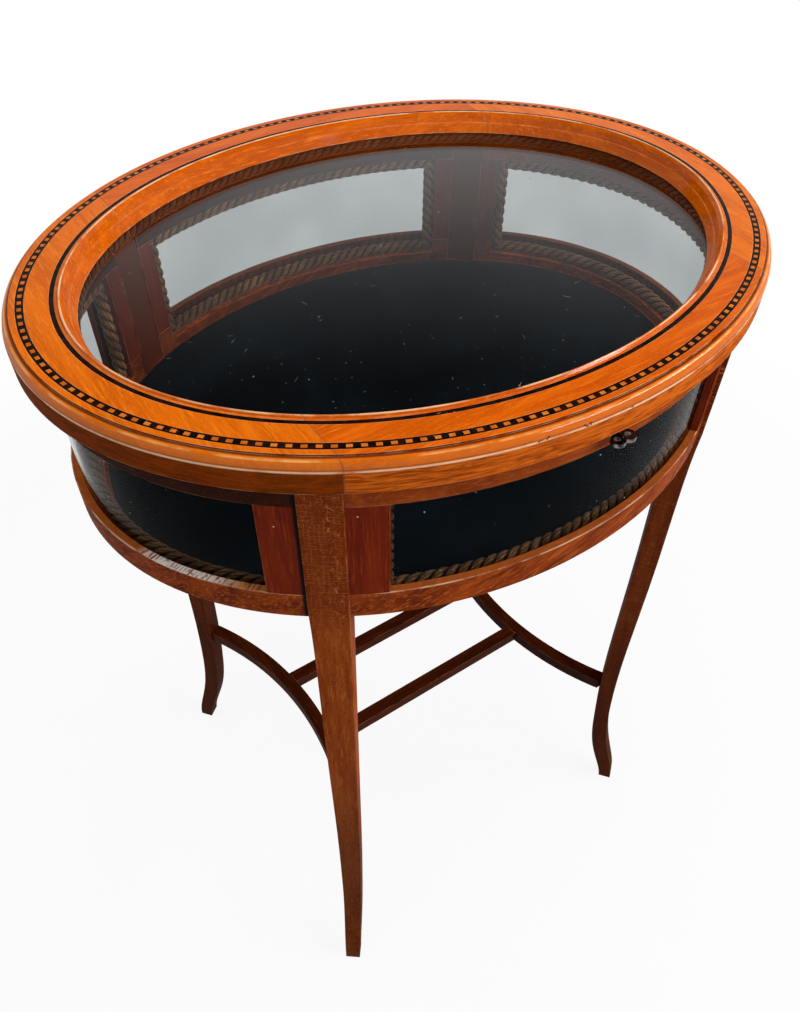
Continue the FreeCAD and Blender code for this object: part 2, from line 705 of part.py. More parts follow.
def make_leaf(name, leaf, start, hole_radius, plate, screws):
    """Hinge leaf: a plate with its share of three knuckles, bored for the pin."""
    own = (1,) if leaf == "case" else (0, 2)
    third = "Sizes.hinge_length / 3"
    gap = "Sizes.knuckle_gap"
    knuckles = []
    wells = []
    for index in range(3):
        knuckle_start = f"{start} + {index} * {third}"
        if index in own:
            knuckles.append(hinge_rod(
                f"{name}_knuckle_{index}", "Sizes.knuckle_radius",
                f"{knuckle_start} + {gap} / 2", f"{third} - {gap}",
            ))
        else:
            wells.append(hinge_rod(
                f"{name}_well_{index}", "Sizes.knuckle_radius + Sizes.knuckle_clearance",
                f"{knuckle_start} - {gap} / 2", f"{third} + {gap}",
            ))
    bore = hinge_rod(name + "_bore", hole_radius, start, "Sizes.hinge_length")
    blank = fuse(name + "_blank", cut(name + "_cleared", plate, *wells), *knuckles)
    name_node(cut(name, blank, bore, *screws), name)


def make_hinges(top_rail, lid_rail):
    """Two butt hinges let into the back rails, with their pins and screws."""
    base = {"case": f"{CASE_TOP} - Sizes.leaf_thickness", "lid": LID_BOTTOM}
    hole_radius = {"case": "Sizes.pin_radius", "lid": "Sizes.pin_radius + Sizes.pin_clearance"}
    rails = {"case": ("top_rail_back", top_rail), "lid": ("lid_rail_back", lid_rail)}
    screws = {"case": [], "lid": []}
    recesses = {"case": [], "lid": []}
    pins = []
    for hand, sign in (("left", -1), ("right", 1)):
        start = f"(({sign}) * Sizes.hinge_offset - Sizes.hinge_length / 2)"
        for leaf in base:
            name = f"hinge_{leaf}_leaf_{hand}"
            plate = box(
                name + "_plate", start, f"{HINGE_Y} - Sizes.leaf_width", base[leaf],
                "Sizes.hinge_length", "Sizes.leaf_width", "Sizes.leaf_thickness",
            )
            leaf_screws = [
                make_screw(f"{name}_screw_{index}", leaf, f"{start} + Sizes.hinge_length * {index} / 3")
                for index in (1, 2)
            ]
            make_leaf(name, leaf, start, hole_radius[leaf], plate, leaf_screws)
            screws[leaf] += leaf_screws
            recesses[leaf].append(plate)
        recesses["lid"].append(hinge_rod(
            "hinge_well_" + hand, "Sizes.knuckle_radius + Sizes.knuckle_clearance",
            f"{start} - Sizes.knuckle_clearance", "Sizes.hinge_length + 2 * Sizes.knuckle_clearance",
        ))
        pins.append(hinge_rod("hinge_pin_" + hand, "Sizes.pin_radius", start, "Sizes.hinge_length"))
    name_node(group("hinge_pins", *pins), "hinge_pins")
    for leaf, (node, rail) in rails.items():
        name_node(group("hinge_screws_" + leaf, *screws[leaf]), "hinge_screws_" + leaf)
        name_node(cut(node, rail, *recesses[leaf], *screws[leaf]), node)


def keyhole(name, radius, slot, y, depth):
    """Round hole with a slot below it, cut towards the inside of the case."""
    inward = FreeCAD.Vector(0, 1, 0)
    eye = rod(name + "_eye", inward, radius, depth, y=y, z=KEY_Z)
    bar = box(
        name + "_slot", f"-({slot}) / 2", y, f"{KEY_Z} - Sizes.keyhole_drop",
        slot, depth, "Sizes.keyhole_drop",
    )
    return fuse(name, eye, bar)


def make_lock_case(block):
    """Hollow lock case, open for the lid's staple above and the key in front."""
    wall = "Sizes.lock_wall"
    gap = "Sizes.staple_clearance"
    cavity = box(
        "lock_cavity", f"{wall} - Sizes.lock_half_length", f"{LOCK_Y} + {wall}", f"{LOCK_BASE} + {wall}",
        f"2 * (Sizes.lock_half_length - {wall})", CAVITY_THICKNESS, f"Sizes.lock_depth - 2 * {wall}",
    )
    mouth = box(
        "staple_mouth", f"Sizes.staple_offset - {gap}",
        f"{LOCK_MIDDLE} - Sizes.staple_width / 2 - {gap}", f"{CASE_TOP} - {wall}",
        f"Sizes.staple_thickness + 2 * {gap}", f"Sizes.staple_width + 2 * {gap}", f"{wall} + Sizes.overrun",
    )
    bearing = keyhole(
        "lock_keyhole", "Sizes.shank_radius + Sizes.shank_clearance",
        "Sizes.bit_thickness + 2 * Sizes.shank_clearance",
        f"{LOCK_Y} - Sizes.overrun", f"{wall} + Sizes.overrun",
    )
    name_node(cut("lock_case", block, cavity, mouth, bearing), "lock_case")


def make_bolt():
    """Sliding bolt: a guided tail, a nose for the staple and a notch that the key's bit carries."""
    nose_end = "(Sizes.staple_offset - Sizes.staple_thickness)"
    tail_start = "(2 * Sizes.lock_wall - Sizes.lock_half_length)"
    tail_thickness = f"({CAVITY_THICKNESS} - 2 * Sizes.bolt_side_clearance)"
    nose_y = f"{LOCK_MIDDLE} - Sizes.nose_thickness / 2"
    tail = box(
        "bolt_tail", tail_start, f"{LOCK_MIDDLE} - {tail_thickness} / 2", BOLT_BASE,
        f"{nose_end} - Sizes.nose_length - {tail_start}", tail_thickness, "Sizes.bolt_height",
    )
    nose = box(
        "bolt_nose", f"{nose_end} - Sizes.nose_length", nose_y, BOLT_BASE,
        "Sizes.nose_length", "Sizes.nose_thickness", "Sizes.bolt_height",
    )
    prong_starts = {
        "left": "-(Sizes.bolt_travel + Sizes.notch_width) / 2 - Sizes.prong_width",
        "right": "(Sizes.notch_width - Sizes.bolt_travel) / 2",
    }
    prongs = [
        box(
            "bolt_prong_" + hand, start, nose_y, f"{BOLT_BASE} - Sizes.prong_depth",
            "Sizes.prong_width", "Sizes.nose_thickness", "Sizes.prong_depth",
        )
        for hand, start in prong_starts.items()
    ]
    name_node(fuse("lock_bolt", tail, nose, *prongs), "lock_bolt")


def make_staple(lid_rail):
    """Staple let into the underside of the lid, with a window for the bolt."""
    gap = "Sizes.staple_clearance"
    middle = "(Sizes.staple_offset + Sizes.staple_thickness / 2)"
    plate = box(
        "staple_plate", f"{middle} - Sizes.staple_plate_half_length",
        f"{LOCK_MIDDLE} - Sizes.staple_plate_width / 2", LID_BOTTOM,
        "2 * Sizes.staple_plate_half_length", "Sizes.staple_plate_width", "Sizes.leaf_thickness",
    )
    loop = box(
        "staple_loop", "Sizes.staple_offset", f"{LOCK_MIDDLE} - Sizes.staple_width / 2",
        f"{LID_BOTTOM} - Sizes.staple_drop",
        "Sizes.staple_thickness", "Sizes.staple_width", "Sizes.staple_drop",
    )
    window = box(
        "staple_window", "Sizes.staple_offset - Sizes.overrun",
        f"{LOCK_MIDDLE} - Sizes.nose_thickness / 2 - {gap}", f"{BOLT_BASE} - {gap}",
        "Sizes.staple_thickness + 2 * Sizes.overrun", f"Sizes.nose_thickness + 2 * {gap}",
        f"Sizes.bolt_height + 2 * {gap}",
    )
    name_node(cut("lock_staple", fuse("staple_blank", plate, loop), window), "lock_staple")
    name_node(cut("lid_rail_front", lid_rail, plate), "lid_rail_front")


def make_key():
    """Key with a pierced two-lobed bow, level at rest, and its bit inside the lock."""
    outward = FreeCAD.Vector(0, -1, 0)
    up = FreeCAD.Vector(0, 0, 1)
    tip = f"({LOCK_Y} + Sizes.lock_thickness - 2 * Sizes.lock_wall)"
    collar_start = f"({CASE_FRONT} - Sizes.collar_gap)"
    bow_y = f"({collar_start} - Sizes.collar_length - Sizes.bow_reach)"
    bow_base = f"{KEY_Z} - Sizes.bow_thickness / 2"
    shank = rod("key_shank", outward, "Sizes.shank_radius", f"{tip} - {bow_y}", y=tip, z=KEY_Z)
    collar = rod(
        "key_collar", outward, "Sizes.collar_radius", "Sizes.collar_length", y=collar_start, z=KEY_Z,
    )
    bit = box(
        "key_bit", "-Sizes.bit_reach", f"{LOCK_MIDDLE} - Sizes.bit_length / 2",
        f"{KEY_Z} - Sizes.bit_thickness / 2", "Sizes.bit_reach", "Sizes.bit_length", "Sizes.bit_thickness",
    )

    def bow_rods(name, radius):
        height = "Sizes.bow_thickness"
        return [
            rod(f"{name}_{hand}", up, radius, height, f"({sign}) * Sizes.bow_spread", bow_y, bow_base)
            for hand, sign in (("left", -1), ("right", 1))
        ]

    holes = bow_rods("bow_hole", "Sizes.bow_hole_radius")
    bow = cut("key_bow", fuse("bow_blank", *bow_rods("bow_lobe", "Sizes.bow_lobe_radius")), *holes)
    stem = cut("key_stem", fuse("stem_blank", shank, collar, bit), *holes)
    name_node(fuse("key", bow, stem), "key")


def make_lock(top_rail, lid_rail):
    """Box lock in the front rail: its case, bolt, staple, key and the keyhole's rim."""
    block = box(
        "lock_block", "-Sizes.lock_half_length", LOCK_Y, LOCK_BASE,
        "2 * Sizes.lock_half_length", "Sizes.lock_thickness", "Sizes.lock_depth",
    )
    rim = keyhole(
        "escutcheon_rim", "Sizes.keyhole_radius + Sizes.escutcheon_rim",
        "Sizes.keyhole_slot + 2 * Sizes.escutcheon_rim", CASE_FRONT, "Sizes.escutcheon_depth",
    )
    hole = keyhole(
        "keyhole", "Sizes.keyhole_radius", "Sizes.keyhole_slot", f"{CASE_FRONT} - Sizes.overrun",
        "Sizes.overrun + Sizes.lock_setback",
    )
    name_node(cut("escutcheon", rim, hole), "escutcheon")
    name_node(cut("top_rail_front", top_rail, block, rim, hole), "top_rail_front")
    make_lock_case(block)
    make_bolt()
    make_staple(lid_rail)
    make_key()


def main():
    sectors = {side: make_sector(side, turn) for side, turn in SIDES.items()}
    legs = {corner: make_leg(corner) for corner in CORNERS}
    make_stretchers(legs)
    top_rails = make_case(legs, sectors)
    lid_rails, band = make_lid()
    make_chequer(band)
    make_lid_cord()
    for side in SIDES:
        make_glazing_cord(side)
    for side in ("left", "right"):
        name_node(top_rails[side], "top_rail_" + side)
        name_node(lid_rails[side], "lid_rail_" + side)
    make_hinges(top_rails["back"], lid_rails["back"])
    make_lock(top_rails["front"], lid_rails["front"])
    doc.recompute()


def write_parts():
    faults = [obj.Name for obj in doc.Objects if {"Invalid", "Error"} & set(obj.State)]
    for node, obj in nodes.items():
        if obj.Shape.isNull() or not obj.Shape.isValid() or not obj.Shape.Solids:
            faults.append(node)
    if faults:
        raise RuntimeError("failed objects: " + ", ".join(faults))
    os.makedirs("parts", exist_ok=True)
    for node, obj in nodes.items():
        obj.Shape.exportStep(f"parts/{node}.step")


main()
write_parts()
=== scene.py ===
import math
import random

import bpy
from mathutils import Matrix, Vector


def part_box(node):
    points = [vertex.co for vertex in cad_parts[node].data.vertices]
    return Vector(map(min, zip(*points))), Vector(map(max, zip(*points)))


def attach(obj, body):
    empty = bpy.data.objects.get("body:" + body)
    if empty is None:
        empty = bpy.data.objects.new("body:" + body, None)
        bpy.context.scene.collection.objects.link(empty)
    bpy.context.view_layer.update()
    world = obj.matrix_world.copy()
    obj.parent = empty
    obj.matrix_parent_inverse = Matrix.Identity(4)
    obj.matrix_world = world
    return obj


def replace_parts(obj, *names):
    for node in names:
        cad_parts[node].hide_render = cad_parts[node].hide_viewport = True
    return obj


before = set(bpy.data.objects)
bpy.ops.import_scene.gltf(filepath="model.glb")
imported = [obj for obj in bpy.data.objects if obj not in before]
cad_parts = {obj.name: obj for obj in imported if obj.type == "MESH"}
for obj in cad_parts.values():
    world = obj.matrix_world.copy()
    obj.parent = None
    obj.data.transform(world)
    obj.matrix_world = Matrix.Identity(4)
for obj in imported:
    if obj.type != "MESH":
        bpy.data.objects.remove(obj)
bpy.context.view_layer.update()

MM = 0.001

# Camera, as fitted to the lid, the case and the feet
CAMERA_PLACE = Vector((-328.8, -465.6, 1040.1)) * MM
CAMERA_AZIMUTH = math.radians(-36.49)
CAMERA_ELEVATION = math.radians(47.30)
CAMERA_ROLL = math.radians(2.11)
CAMERA_LENS = 30.09
CAMERA_SHIFT = (-0.0198, 0.0231)
CAMERA_NEAR = 0.02

# Sizes that the pieces made here share with the CAD, in millimetres
LID_HALF_AXES = (285.0, 226.5)
CASE_HALF_AXES = (274.5, 216.0)
FASCIA_TOP = 732.0
LID_UNDERSIDE = 718.5
QUIRK = (738.6, 739.75)
LID_GLASS_TOP = 726.0
MOULDING_TOP = 741.5
MOULDING_INNER_INSET = 44.5
PANE_INSET = 5.5
PANE_TOP = 695.0
SILL = 615.0
REBATE_FLOOR = 601.5
CASE_BOTTOM = 593.0
RAIL_THICKNESS = 20.0
VELVET_THICKNESS = 1.5
CORD_RADIUS = 5.25
CORD_REACH = 5.55
CORD_INSET = 23.55
CORD_BEND = 8.0
LID_CORD_RADIUS = 4.5
LID_CORD_INSET = 39.8
LID_CORD_HEIGHT = 718.2

# Legs: middle of the outer face in the quarter where x and y are positive, its heading and its half width
LEG_FACE = Vector((178.43, 166.54, 0.0))
LEG_TURN = math.radians(51.38)
LEG_HALF_WIDTH = 13.5
NEAR_LEG_TURN = LEG_TURN + math.pi

SIDE_MIDDLE = {"front": 270.0, "back": 90.0, "left": 180.0, "right": 0.0}
SIDES = tuple(SIDE_MIDDLE)
CORNERS = ("front_left", "front_right", "back_left", "back_right")
JOINT_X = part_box("lid_rail_front")[1][0]
WHITE = (1.0, 1.0, 1.0, 1.0)


def colour(red, green, blue):
    """Linear colour with alpha from screen values of 0 to 255."""
    def linear(value):
        share = value / 255
        return share / 12.92 if share <= 0.04045 else ((share + 0.055) / 1.055) ** 2.4
    return (linear(red), linear(green), linear(blue), 1.0)


class Graph:
    """Nodes of a material or a world under construction."""

    def __init__(self, owner):
        self.owner = owner
        owner.use_nodes = True
        self.tree = owner.node_tree
        self.tree.nodes.clear()

    def feed(self, socket, value):
        if isinstance(value, bpy.types.NodeSocket):
            self.tree.links.new(value, socket)
        else:
            socket.default_value = value

    def add(self, kind, inputs=None, **settings):
        node = self.tree.nodes.new(kind)
        for key, value in settings.items():
            setattr(node, key, value)
        for key, value in (inputs or {}).items():
            self.feed(node.inputs[key], value)
        return node

    def place(self):
        return self.add("ShaderNodeTexCoord").outputs["Object"]

    def facing(self):
        return self.add("ShaderNodeNewGeometry").outputs["Normal"]

    def axes(self, vector):
        return self.add("ShaderNodeSeparateXYZ", {0: vector}).outputs

    def join(self, x, y, z=0.0):
        return self.add("ShaderNodeCombineXYZ", {0: x, 1: y, 2: z}).outputs[0]

    def vector(self, operation, first, second=(0.0, 0.0, 0.0)):
        return self.add("ShaderNodeVectorMath", {0: first, 1: second}, operation=operation).outputs

    def moved(self, vector, offset):
        return self.vector("ADD", vector, offset)[0]

    def scaled(self, vector, scale):
        return self.vector("MULTIPLY", vector, scale)[0]

    def turned(self, vector, turn):
        return self.add("ShaderNodeMapping", {"Vector": vector, "Rotation": turn}).outputs[0]

    def noise(self, vector, scale, detail=4.0, roughness=0.55, distortion=0.0):
        inputs = {
            "Vector": vector, "Scale": scale, "Detail": detail,
            "Roughness": roughness, "Distortion": distortion,
        }
        return self.add("ShaderNodeTexNoise", inputs).outputs["Fac"]

    def cells(self, vector, randomness):
        """Distance to the borders of flat cells, in cell widths."""
        settings = {"voronoi_dimensions": "2D", "feature": "DISTANCE_TO_EDGE"}
        inputs = {"Vector": vector, "Scale": 1.0, "Randomness": randomness}
        return self.add("ShaderNodeTexVoronoi", inputs, **settings).outputs["Distance"]

    def math(self, operation, first, second=0.0):
        return self.add("ShaderNodeMath", {0: first, 1: second}, operation=operation).outputs[0]

    def times(self, *values):
        product = values[0]
        for value in values[1:]:
            product = self.math("MULTIPLY", product, value)
        return product

    def rest_of(self, share):
        """What a share leaves of 1."""
        return self.math("SUBTRACT", 1.0, share)

    def span(self, value, low, high, start=0.0, end=1.0):
        """Maps low..high smoothly to start..end."""
        inputs = {"Value": value, 1: low, 2: high, 3: start, 4: end}
        return self.add("ShaderNodeMapRange", inputs, interpolation_type="SMOOTHSTEP").outputs[0]

    def rise(self, z, low, high, start=0.0, end=1.0):
        """Maps heights in millimetres smoothly to start..end."""
        return self.span(z, low * MM, high * MM, start, end)

    def patchy(self, place, scale, low, high, start=0.0, end=1.0, detail=4.0):
        """Soft patches: noise from low to high mapped to start..end."""
        return self.span(self.noise(place, scale, detail), low, high, start, end)

    def band(self, value, low, high, soft):
        """1 where a value lies between two limits, with soft ends."""
        above = self.span(value, low - soft, low + soft)
        below = self.span(value, high - soft, high + soft, 1.0, 0.0)
        return self.times(above, below)

    def layer(self, z, low, high, soft):
        """1 between two heights in millimetres, with soft ends."""
        return self.band(z, low * MM, high * MM, soft * MM)

    def paint(self, body, share, tone):
        node = self.add("ShaderNodeMix", data_type="RGBA")
        for index, value in ((0, share), (6, body), (7, tone)):
            self.feed(node.inputs[index], value)
        return node.outputs[2]

    def rounded(self, radius):
        """Normal with the sharp edges eased."""
        return self.add("ShaderNodeBevel", {"Radius": radius}, samples=6).outputs[0]

    def edge_wear(self, radius):
        """Share of wear along sharp edges, 0 on open faces."""
        agreement = self.vector("DOT_PRODUCT", self.rounded(radius), self.facing())["Value"]
        return self.span(agreement, 0.985, 0.80)

    def bump(self, height, strength, distance, normal=None):
        inputs = {"Height": height, "Strength": strength, "Distance": distance}
        if normal is not None:
            inputs["Normal"] = normal
        return self.add("ShaderNodeBump", inputs).outputs[0]

    def seen(self):
        """1 for rays that see the studio: from the camera, mirrored or through glass."""
        path = self.add("ShaderNodeLightPath").outputs
        either = self.math("MAXIMUM", path["Is Camera Ray"], path["Is Glossy Ray"])
        return self.math("MAXIMUM", either, path["Is Transmission Ray"])

    def surface(self, **values):
        """Principled surface; keywords use underscores for the spaces in socket names."""
        inputs = {key.replace("_", " "): value for key, value in values.items()}
        return self.show(self.add("ShaderNodeBsdfPrincipled", inputs))

    def show(self, shader, output="ShaderNodeOutputMaterial"):
        self.tree.links.new(shader.outputs[0], self.add(output).inputs["Surface"])
        return self.owner


def new_graph(name):
    return Graph(bpy.data.materials.new(name))


# Grain: how much finer the figure is across the wood than along it,
# and the axis that a slanted grain turns on
GRAIN_SCALES = {"x": (1.0, 12.0, 12.0), "y": (12.0, 1.0, 12.0), "z": (12.0, 12.0, 1.0)}
SLANT_AXES = {"x": (0.0, 1.0, 0.0), "y": (1.0, 0.0, 0.0), "z": (0.0, 0.0, 0.0)}
LEVEL_GRAIN = (1.0, 1.0, 10.0)

# Noise in the wood: scale, detail, roughness, distortion
FIGURE = (7.0, 4.0, 0.55, 0.5)
STREAKS = (42.0, 5.0, 0.62, 0.25)
PORES = (190.0, 3.0, 0.6)
TICKS = (300.0, 2.0, 0.5)
WAVES = (42.0, 5.0, 0.62, 0.9)
SPECKLE = (620.0, 3.0, 0.6)
FLAKE_CRACKS = (640.0, 3.0, 0.6)

# Depth of the grain under the polish, and the limits of the noise that smears the polish
RELIEF_DEPTH = 0.25 * MM
SMEAR_LIMITS = (0.3, 0.7)

# Polish: how strongly the grain shows, how far the edges are eased in millimetres,
# scale and limits of the smears in its roughness, and its coat; the lid's coat varies with the height
LID_FINISH = {"strength": 0.14, "edge": 0.7, "smear": (24.0, 0.24, 0.36), "coat_roughness": 0.08}
MOULDING_FINISH = {
    "strength": 0.14, "edge": 0.6, "smear": (30.0, 0.20, 0.32), "coat": 0.24, "coat_roughness": 0.07,
}
CASE_FINISH = {
    "strength": 0.18, "edge": 0.6, "smear": (30.0, 0.30, 0.44), "coat": 0.07, "coat_roughness": 0.10,
}
LEG_FINISH = {
    "strength": 0.2, "edge": 0.6, "smear": (35.0, 0.32, 0.46), "coat": 0.05, "coat_roughness": 0.12,
}
LID_COAT = (0.03, 0.34)


def figured_wood(graph, place, grain, tones, pore_tone, seed, slant=0.0):
    """Colour and height of polished wood: broad figure, fine streaks and dark pores along the grain."""
    offset = (seed, seed * 0.7, seed * 1.3)
    turn = tuple(slant * axis for axis in SLANT_AXES[grain])
    along = graph.scaled(graph.turned(graph.moved(place, offset), turn), GRAIN_SCALES[grain])
    figure = graph.noise(along, *FIGURE)
    streak = graph.noise(along, *STREAKS)
    pores = graph.noise(along, *PORES)
    dark, middle, light = tones
    body = graph.paint(dark, graph.span(figure, 0.34, 0.66), middle)
    body = graph.paint(body, graph.span(streak, 0.46, 0.74, 0.0, 0.9), light)
    pore = graph.span(pores, 0.57, 0.70, 0.0, 0.55)
    return graph.paint(body, pore, pore_tone), graph.math("SUBTRACT", streak, pore)


def worn_edges(graph, place, body, radius, patches, share, tone):
    """Arrises worn pale in patches, given by the noise's scale and limits; for the lid, the moulding and the
    case the pale also stands in as painted highlight.
    """
    wear = graph.times(graph.edge_wear(radius * MM), graph.patchy(place, *patches), share)
    return graph.paint(body, wear, tone)


def polished(graph, place, body, relief, strength, edge, smear, coat, coat_roughness):
    """Polished wood: no gloss of its own, only that of a thin coat, smeared by handling."""
    scale, low, high = smear
    return graph.surface(
        Base_Color=body, Roughness=graph.patchy(place, scale, *SMEAR_LIMITS, low, high),
        Normal=graph.bump(relief, strength, RELIEF_DEPTH, graph.rounded(edge * MM)),
        Specular_IOR_Level=0.0, Coat_Weight=coat, Coat_Roughness=coat_roughness,
    )


def oval_reach(graph, place, half_axes):
    """Distance from the middle as a share of an oval's own."""
    scale = (1 / (half_axes[0] * MM), 1 / (half_axes[1] * MM), 0.0)
    return graph.vector("LENGTH", graph.scaled(place, scale))["Value"]


# Dark, middle and light tone of each wood; the fascia has two; some woods have lit and shaded copies, as
# painted light and shade
LID_TONES = {
    "x": (colour(194, 77, 3), colour(217, 94, 5), colour(234, 115, 14)),
    "y": (colour(204, 90, 5), colour(227, 108, 8), colour(243, 130, 20)),
}
FASCIA_TONES = {
    "x": (colour(130, 51, 8), colour(214, 106, 28)),
    # The fascias of the ends take darker tones, as painted shade
    "y": (colour(62, 18, 2), colour(116, 42, 5)),
}
MOULDING_TONES = (colour(188, 78, 4), colour(211, 95, 6), colour(230, 116, 16))
TOP_RAIL_TONES = (colour(128, 52, 12), colour(150, 66, 16), colour(170, 84, 28))
# Back and left top rails: darker tones as painted shade under the lid's overhang
PAINTED_SHADE_RAIL_TONES = (colour(44, 11, 3), colour(58, 18, 4), colour(74, 28, 8))
BOTTOM_RAIL_TONES = (colour(106, 35, 5), colour(150, 62, 12), colour(194, 98, 32))
STILE_TONES = (colour(106, 27, 4), colour(126, 39, 6), colour(148, 55, 12))
# The nearest leg's tones are lighter as painted light; the other legs' tones below are darker as painted
# shade
NEAR_LEG_LIT_TONES = (colour(140, 58, 12), colour(166, 80, 21), colour(188, 100, 34))
LEG_TONES = (colour(96, 37, 8), colour(116, 50, 13), colour(134, 64, 20))
STRETCHER_TONES = (colour(56, 20, 6), colour(72, 28, 9), colour(94, 42, 15))

# Pores, dirt, wear, painted highlights and painted shade of the lid
LID_PORES = colour(142, 60, 8)
LID_TICKS = colour(242, 146, 50)
UNDERSIDE_TONE = colour(112, 46, 10)
# Golden tint over the ovolo, a painted highlight
OVOLO_HIGHLIGHT_TONE = colour(214, 112, 20)
# Painted shade at the ovolo's foot
OVOLO_FOOT_SHADE = colour(132, 54, 8)
# Painted highlight on the ovolo's shoulder
SHOULDER_HIGHLIGHT = colour(255, 196, 124)
# Painted shade, with some dirt, in the quirk
QUIRK_SHADE_AND_DIRT = colour(78, 26, 10)
# Pale wear on the lid's edges, brightened to serve also as painted highlight
LID_WEAR_AND_HIGHLIGHT = colour(250, 206, 150)
# Painted highlight along the arris above the fascia
ARRIS_HIGHLIGHT = colour(255, 222, 182)
NICK_DARK = colour(52, 14, 4)
JOINT_DIRT = colour(110, 42, 8)
MOULDING_PORES = colour(130, 48, 6)
# Pale wear on the moulding's edges, brightened to serve also as painted highlight
MOULDING_WEAR_AND_HIGHLIGHT = colour(255, 214, 158)
# Painted highlight along the moulding's crest
CREST_HIGHLIGHT = colour(255, 216, 166)

# Pores, wear, painted shade, painted shadow and painted highlights of the case and the legs
CASE_PORES = colour(50, 14, 4)
# Painted shade on faces that look into the case
INNER_PAINTED_SHADE = colour(30, 9, 4)
# Pale wear on the case's edges, brightened to serve also as painted highlight
CASE_WEAR_AND_HIGHLIGHT = colour(232, 164, 112)
# Painted shadow cast by the nearest leg
LEG_SHADOW_TONE = colour(8, 2, 1)
LIP_TONE = colour(186, 100, 46)
# Painted highlight along the sill lip's outer arris
LIP_ARRIS_HIGHLIGHT = colour(250, 212, 176)
FLAKE_TAN = colour(198, 136, 84)
FLAKE_WHITE = colour(246, 238, 228)
FLAKE_CRACK = colour(138, 72, 36)
PIN_FILLER = colour(240, 196, 170)
LEG_PORES = colour(46, 14, 4)
LEG_SPECKLE = colour(84, 30, 6)
LEG_HEAD_TONE = colour(98, 26, 3)
# Painted shade towards the legs' feet
LEG_FOOT_SHADE = colour(42, 14, 4)
CRAZING_PALE = colour(190, 104, 52)
LEG_WEAR = colour(214, 140, 92)

# Heights in millimetres between which the lid's edge and the moulding's crest change
FASCIA_RISE = (FASCIA_TOP + 0.5, FASCIA_TOP - 0.5)
OVOLO_BAND = (FASCIA_TOP + 0.6, QUIRK[0])
OVOLO_FOOT_BAND = (FASCIA_TOP + 0.7, FASCIA_TOP + 1.6)
SHOULDER_BAND = (QUIRK[0] - 1.2, QUIRK[0] - 0.4)
ARRIS_BAND = (FASCIA_TOP - 0.7, FASCIA_TOP + 0.4)
NICK_BAND = (FASCIA_TOP - 0.4, FASCIA_TOP + 2.0)
GLOSS_RISE = (FASCIA_TOP - 0.8, FASCIA_TOP + 1.0)
CREST_RISE = (MOULDING_TOP - 0.7, MOULDING_TOP - 0.2)

# Stretch of the lid's front edge that has been knocked, in metres of x
NICKED = (-72.0 * MM, 0.0)

# Stretch of the left lip where the finish has flaked, from the leg towards the end, in metres of y,
# and the part of it next to the leg where it goes from tan to white
FLAKED = (-138.0 * MM, -66.0 * MM)
TANNED = (-128.0 * MM, -108.0 * MM)

# Heights in metres over which the legs' looks change
LEG_HEAD = (0.57, 0.61)
LEG_SHADED = (0.56, 0.60)
LEG_CRAZED = (0.56, 0.62)
LEG_RUBBED = (0.35, 0.60)
LEG_SHADED_FOOT = (0.46, 0.14)

# Crazed varnish: cells per metre across and up, their randomness, the cracks' width in cells and their
# strength; scale and limits of the noise that breaks the cracks; and shifts that make the legs differ
FINE_CRACKS = (330.0, 420.0, 0.6, 0.08, 0.75)
FINE_GAPS = (230.0, 0.42, 0.54)
LEVEL_CRACKS = (45.0, 230.0, 0.4, 0.045, 1.0)
LEVEL_GAPS = (110.0, 0.50, 0.57)
RIGHT_SHIFT = 3.7
BACK_SHIFT = 9.1


def joint_dirt(graph, x, body):
    """Dirt in the hairlines where the lengths of the lid's frame meet."""
    offset = graph.math("ABSOLUTE", graph.math("SUBTRACT", graph.math("ABSOLUTE", x), JOINT_X))
    line = graph.span(offset, 0.6 * MM, 0.15 * MM)
    return graph.paint(body, graph.times(line, 0.5), JOINT_DIRT)


def lid_sides(graph, place, grain, body):
    """Browner fascia with level wavy grain, and a brown underside."""
    z = graph.axes(place)[2]
    waves = graph.noise(graph.scaled(place, LEVEL_GRAIN), *WAVES)
    # The ends' fascia tones hold painted shade
    dark, light = FASCIA_TONES[grain]
    brown = graph.paint(dark, graph.span(waves, 0.36, 0.60), light)
    outer = graph.span(oval_reach(graph, place, LID_HALF_AXES), 0.9945, 0.9975)
    fascia = graph.rise(z, *FASCIA_RISE, 0.0, 0.85)
    body = graph.paint(body, graph.times(fascia, outer), brown)
    under = graph.times(graph.rise(z, FASCIA_TOP, LID_UNDERSIDE), graph.rest_of(outer), 0.6)
    return graph.paint(body, under, UNDERSIDE_TONE)


def lid_profile(graph, place, body):
    """The rounded edge: a golden painted highlight over it, painted shade at its foot, a painted highlight
    on its shoulder, and painted shade with dirt in the quirk above.
    """
    z = graph.axes(place)[2]
    # Golden painted highlight over the ovolo
    ovolo = graph.layer(z, *OVOLO_BAND, 0.4)
    body = graph.paint(body, graph.times(ovolo, 0.5), OVOLO_HIGHLIGHT_TONE)
    # Painted shade at the foot
    foot = graph.layer(z, *OVOLO_FOOT_BAND, 0.4)
    body = graph.paint(body, graph.times(foot, 0.5), OVOLO_FOOT_SHADE)
    # Painted highlight on the shoulder, in patches
    shoulder = graph.layer(z, *SHOULDER_BAND, 0.25)
    painted_shine = graph.patchy(place, 34.0, 0.38, 0.60, 0.0, 0.6)
    body = graph.paint(body, graph.times(shoulder, painted_shine), SHOULDER_HIGHLIGHT)
    # Painted shade with dirt in the quirk
    shade_and_dirt = graph.layer(z, *QUIRK, 0.15)
    return graph.paint(body, graph.times(shade_and_dirt, 0.85), QUIRK_SHADE_AND_DIRT)


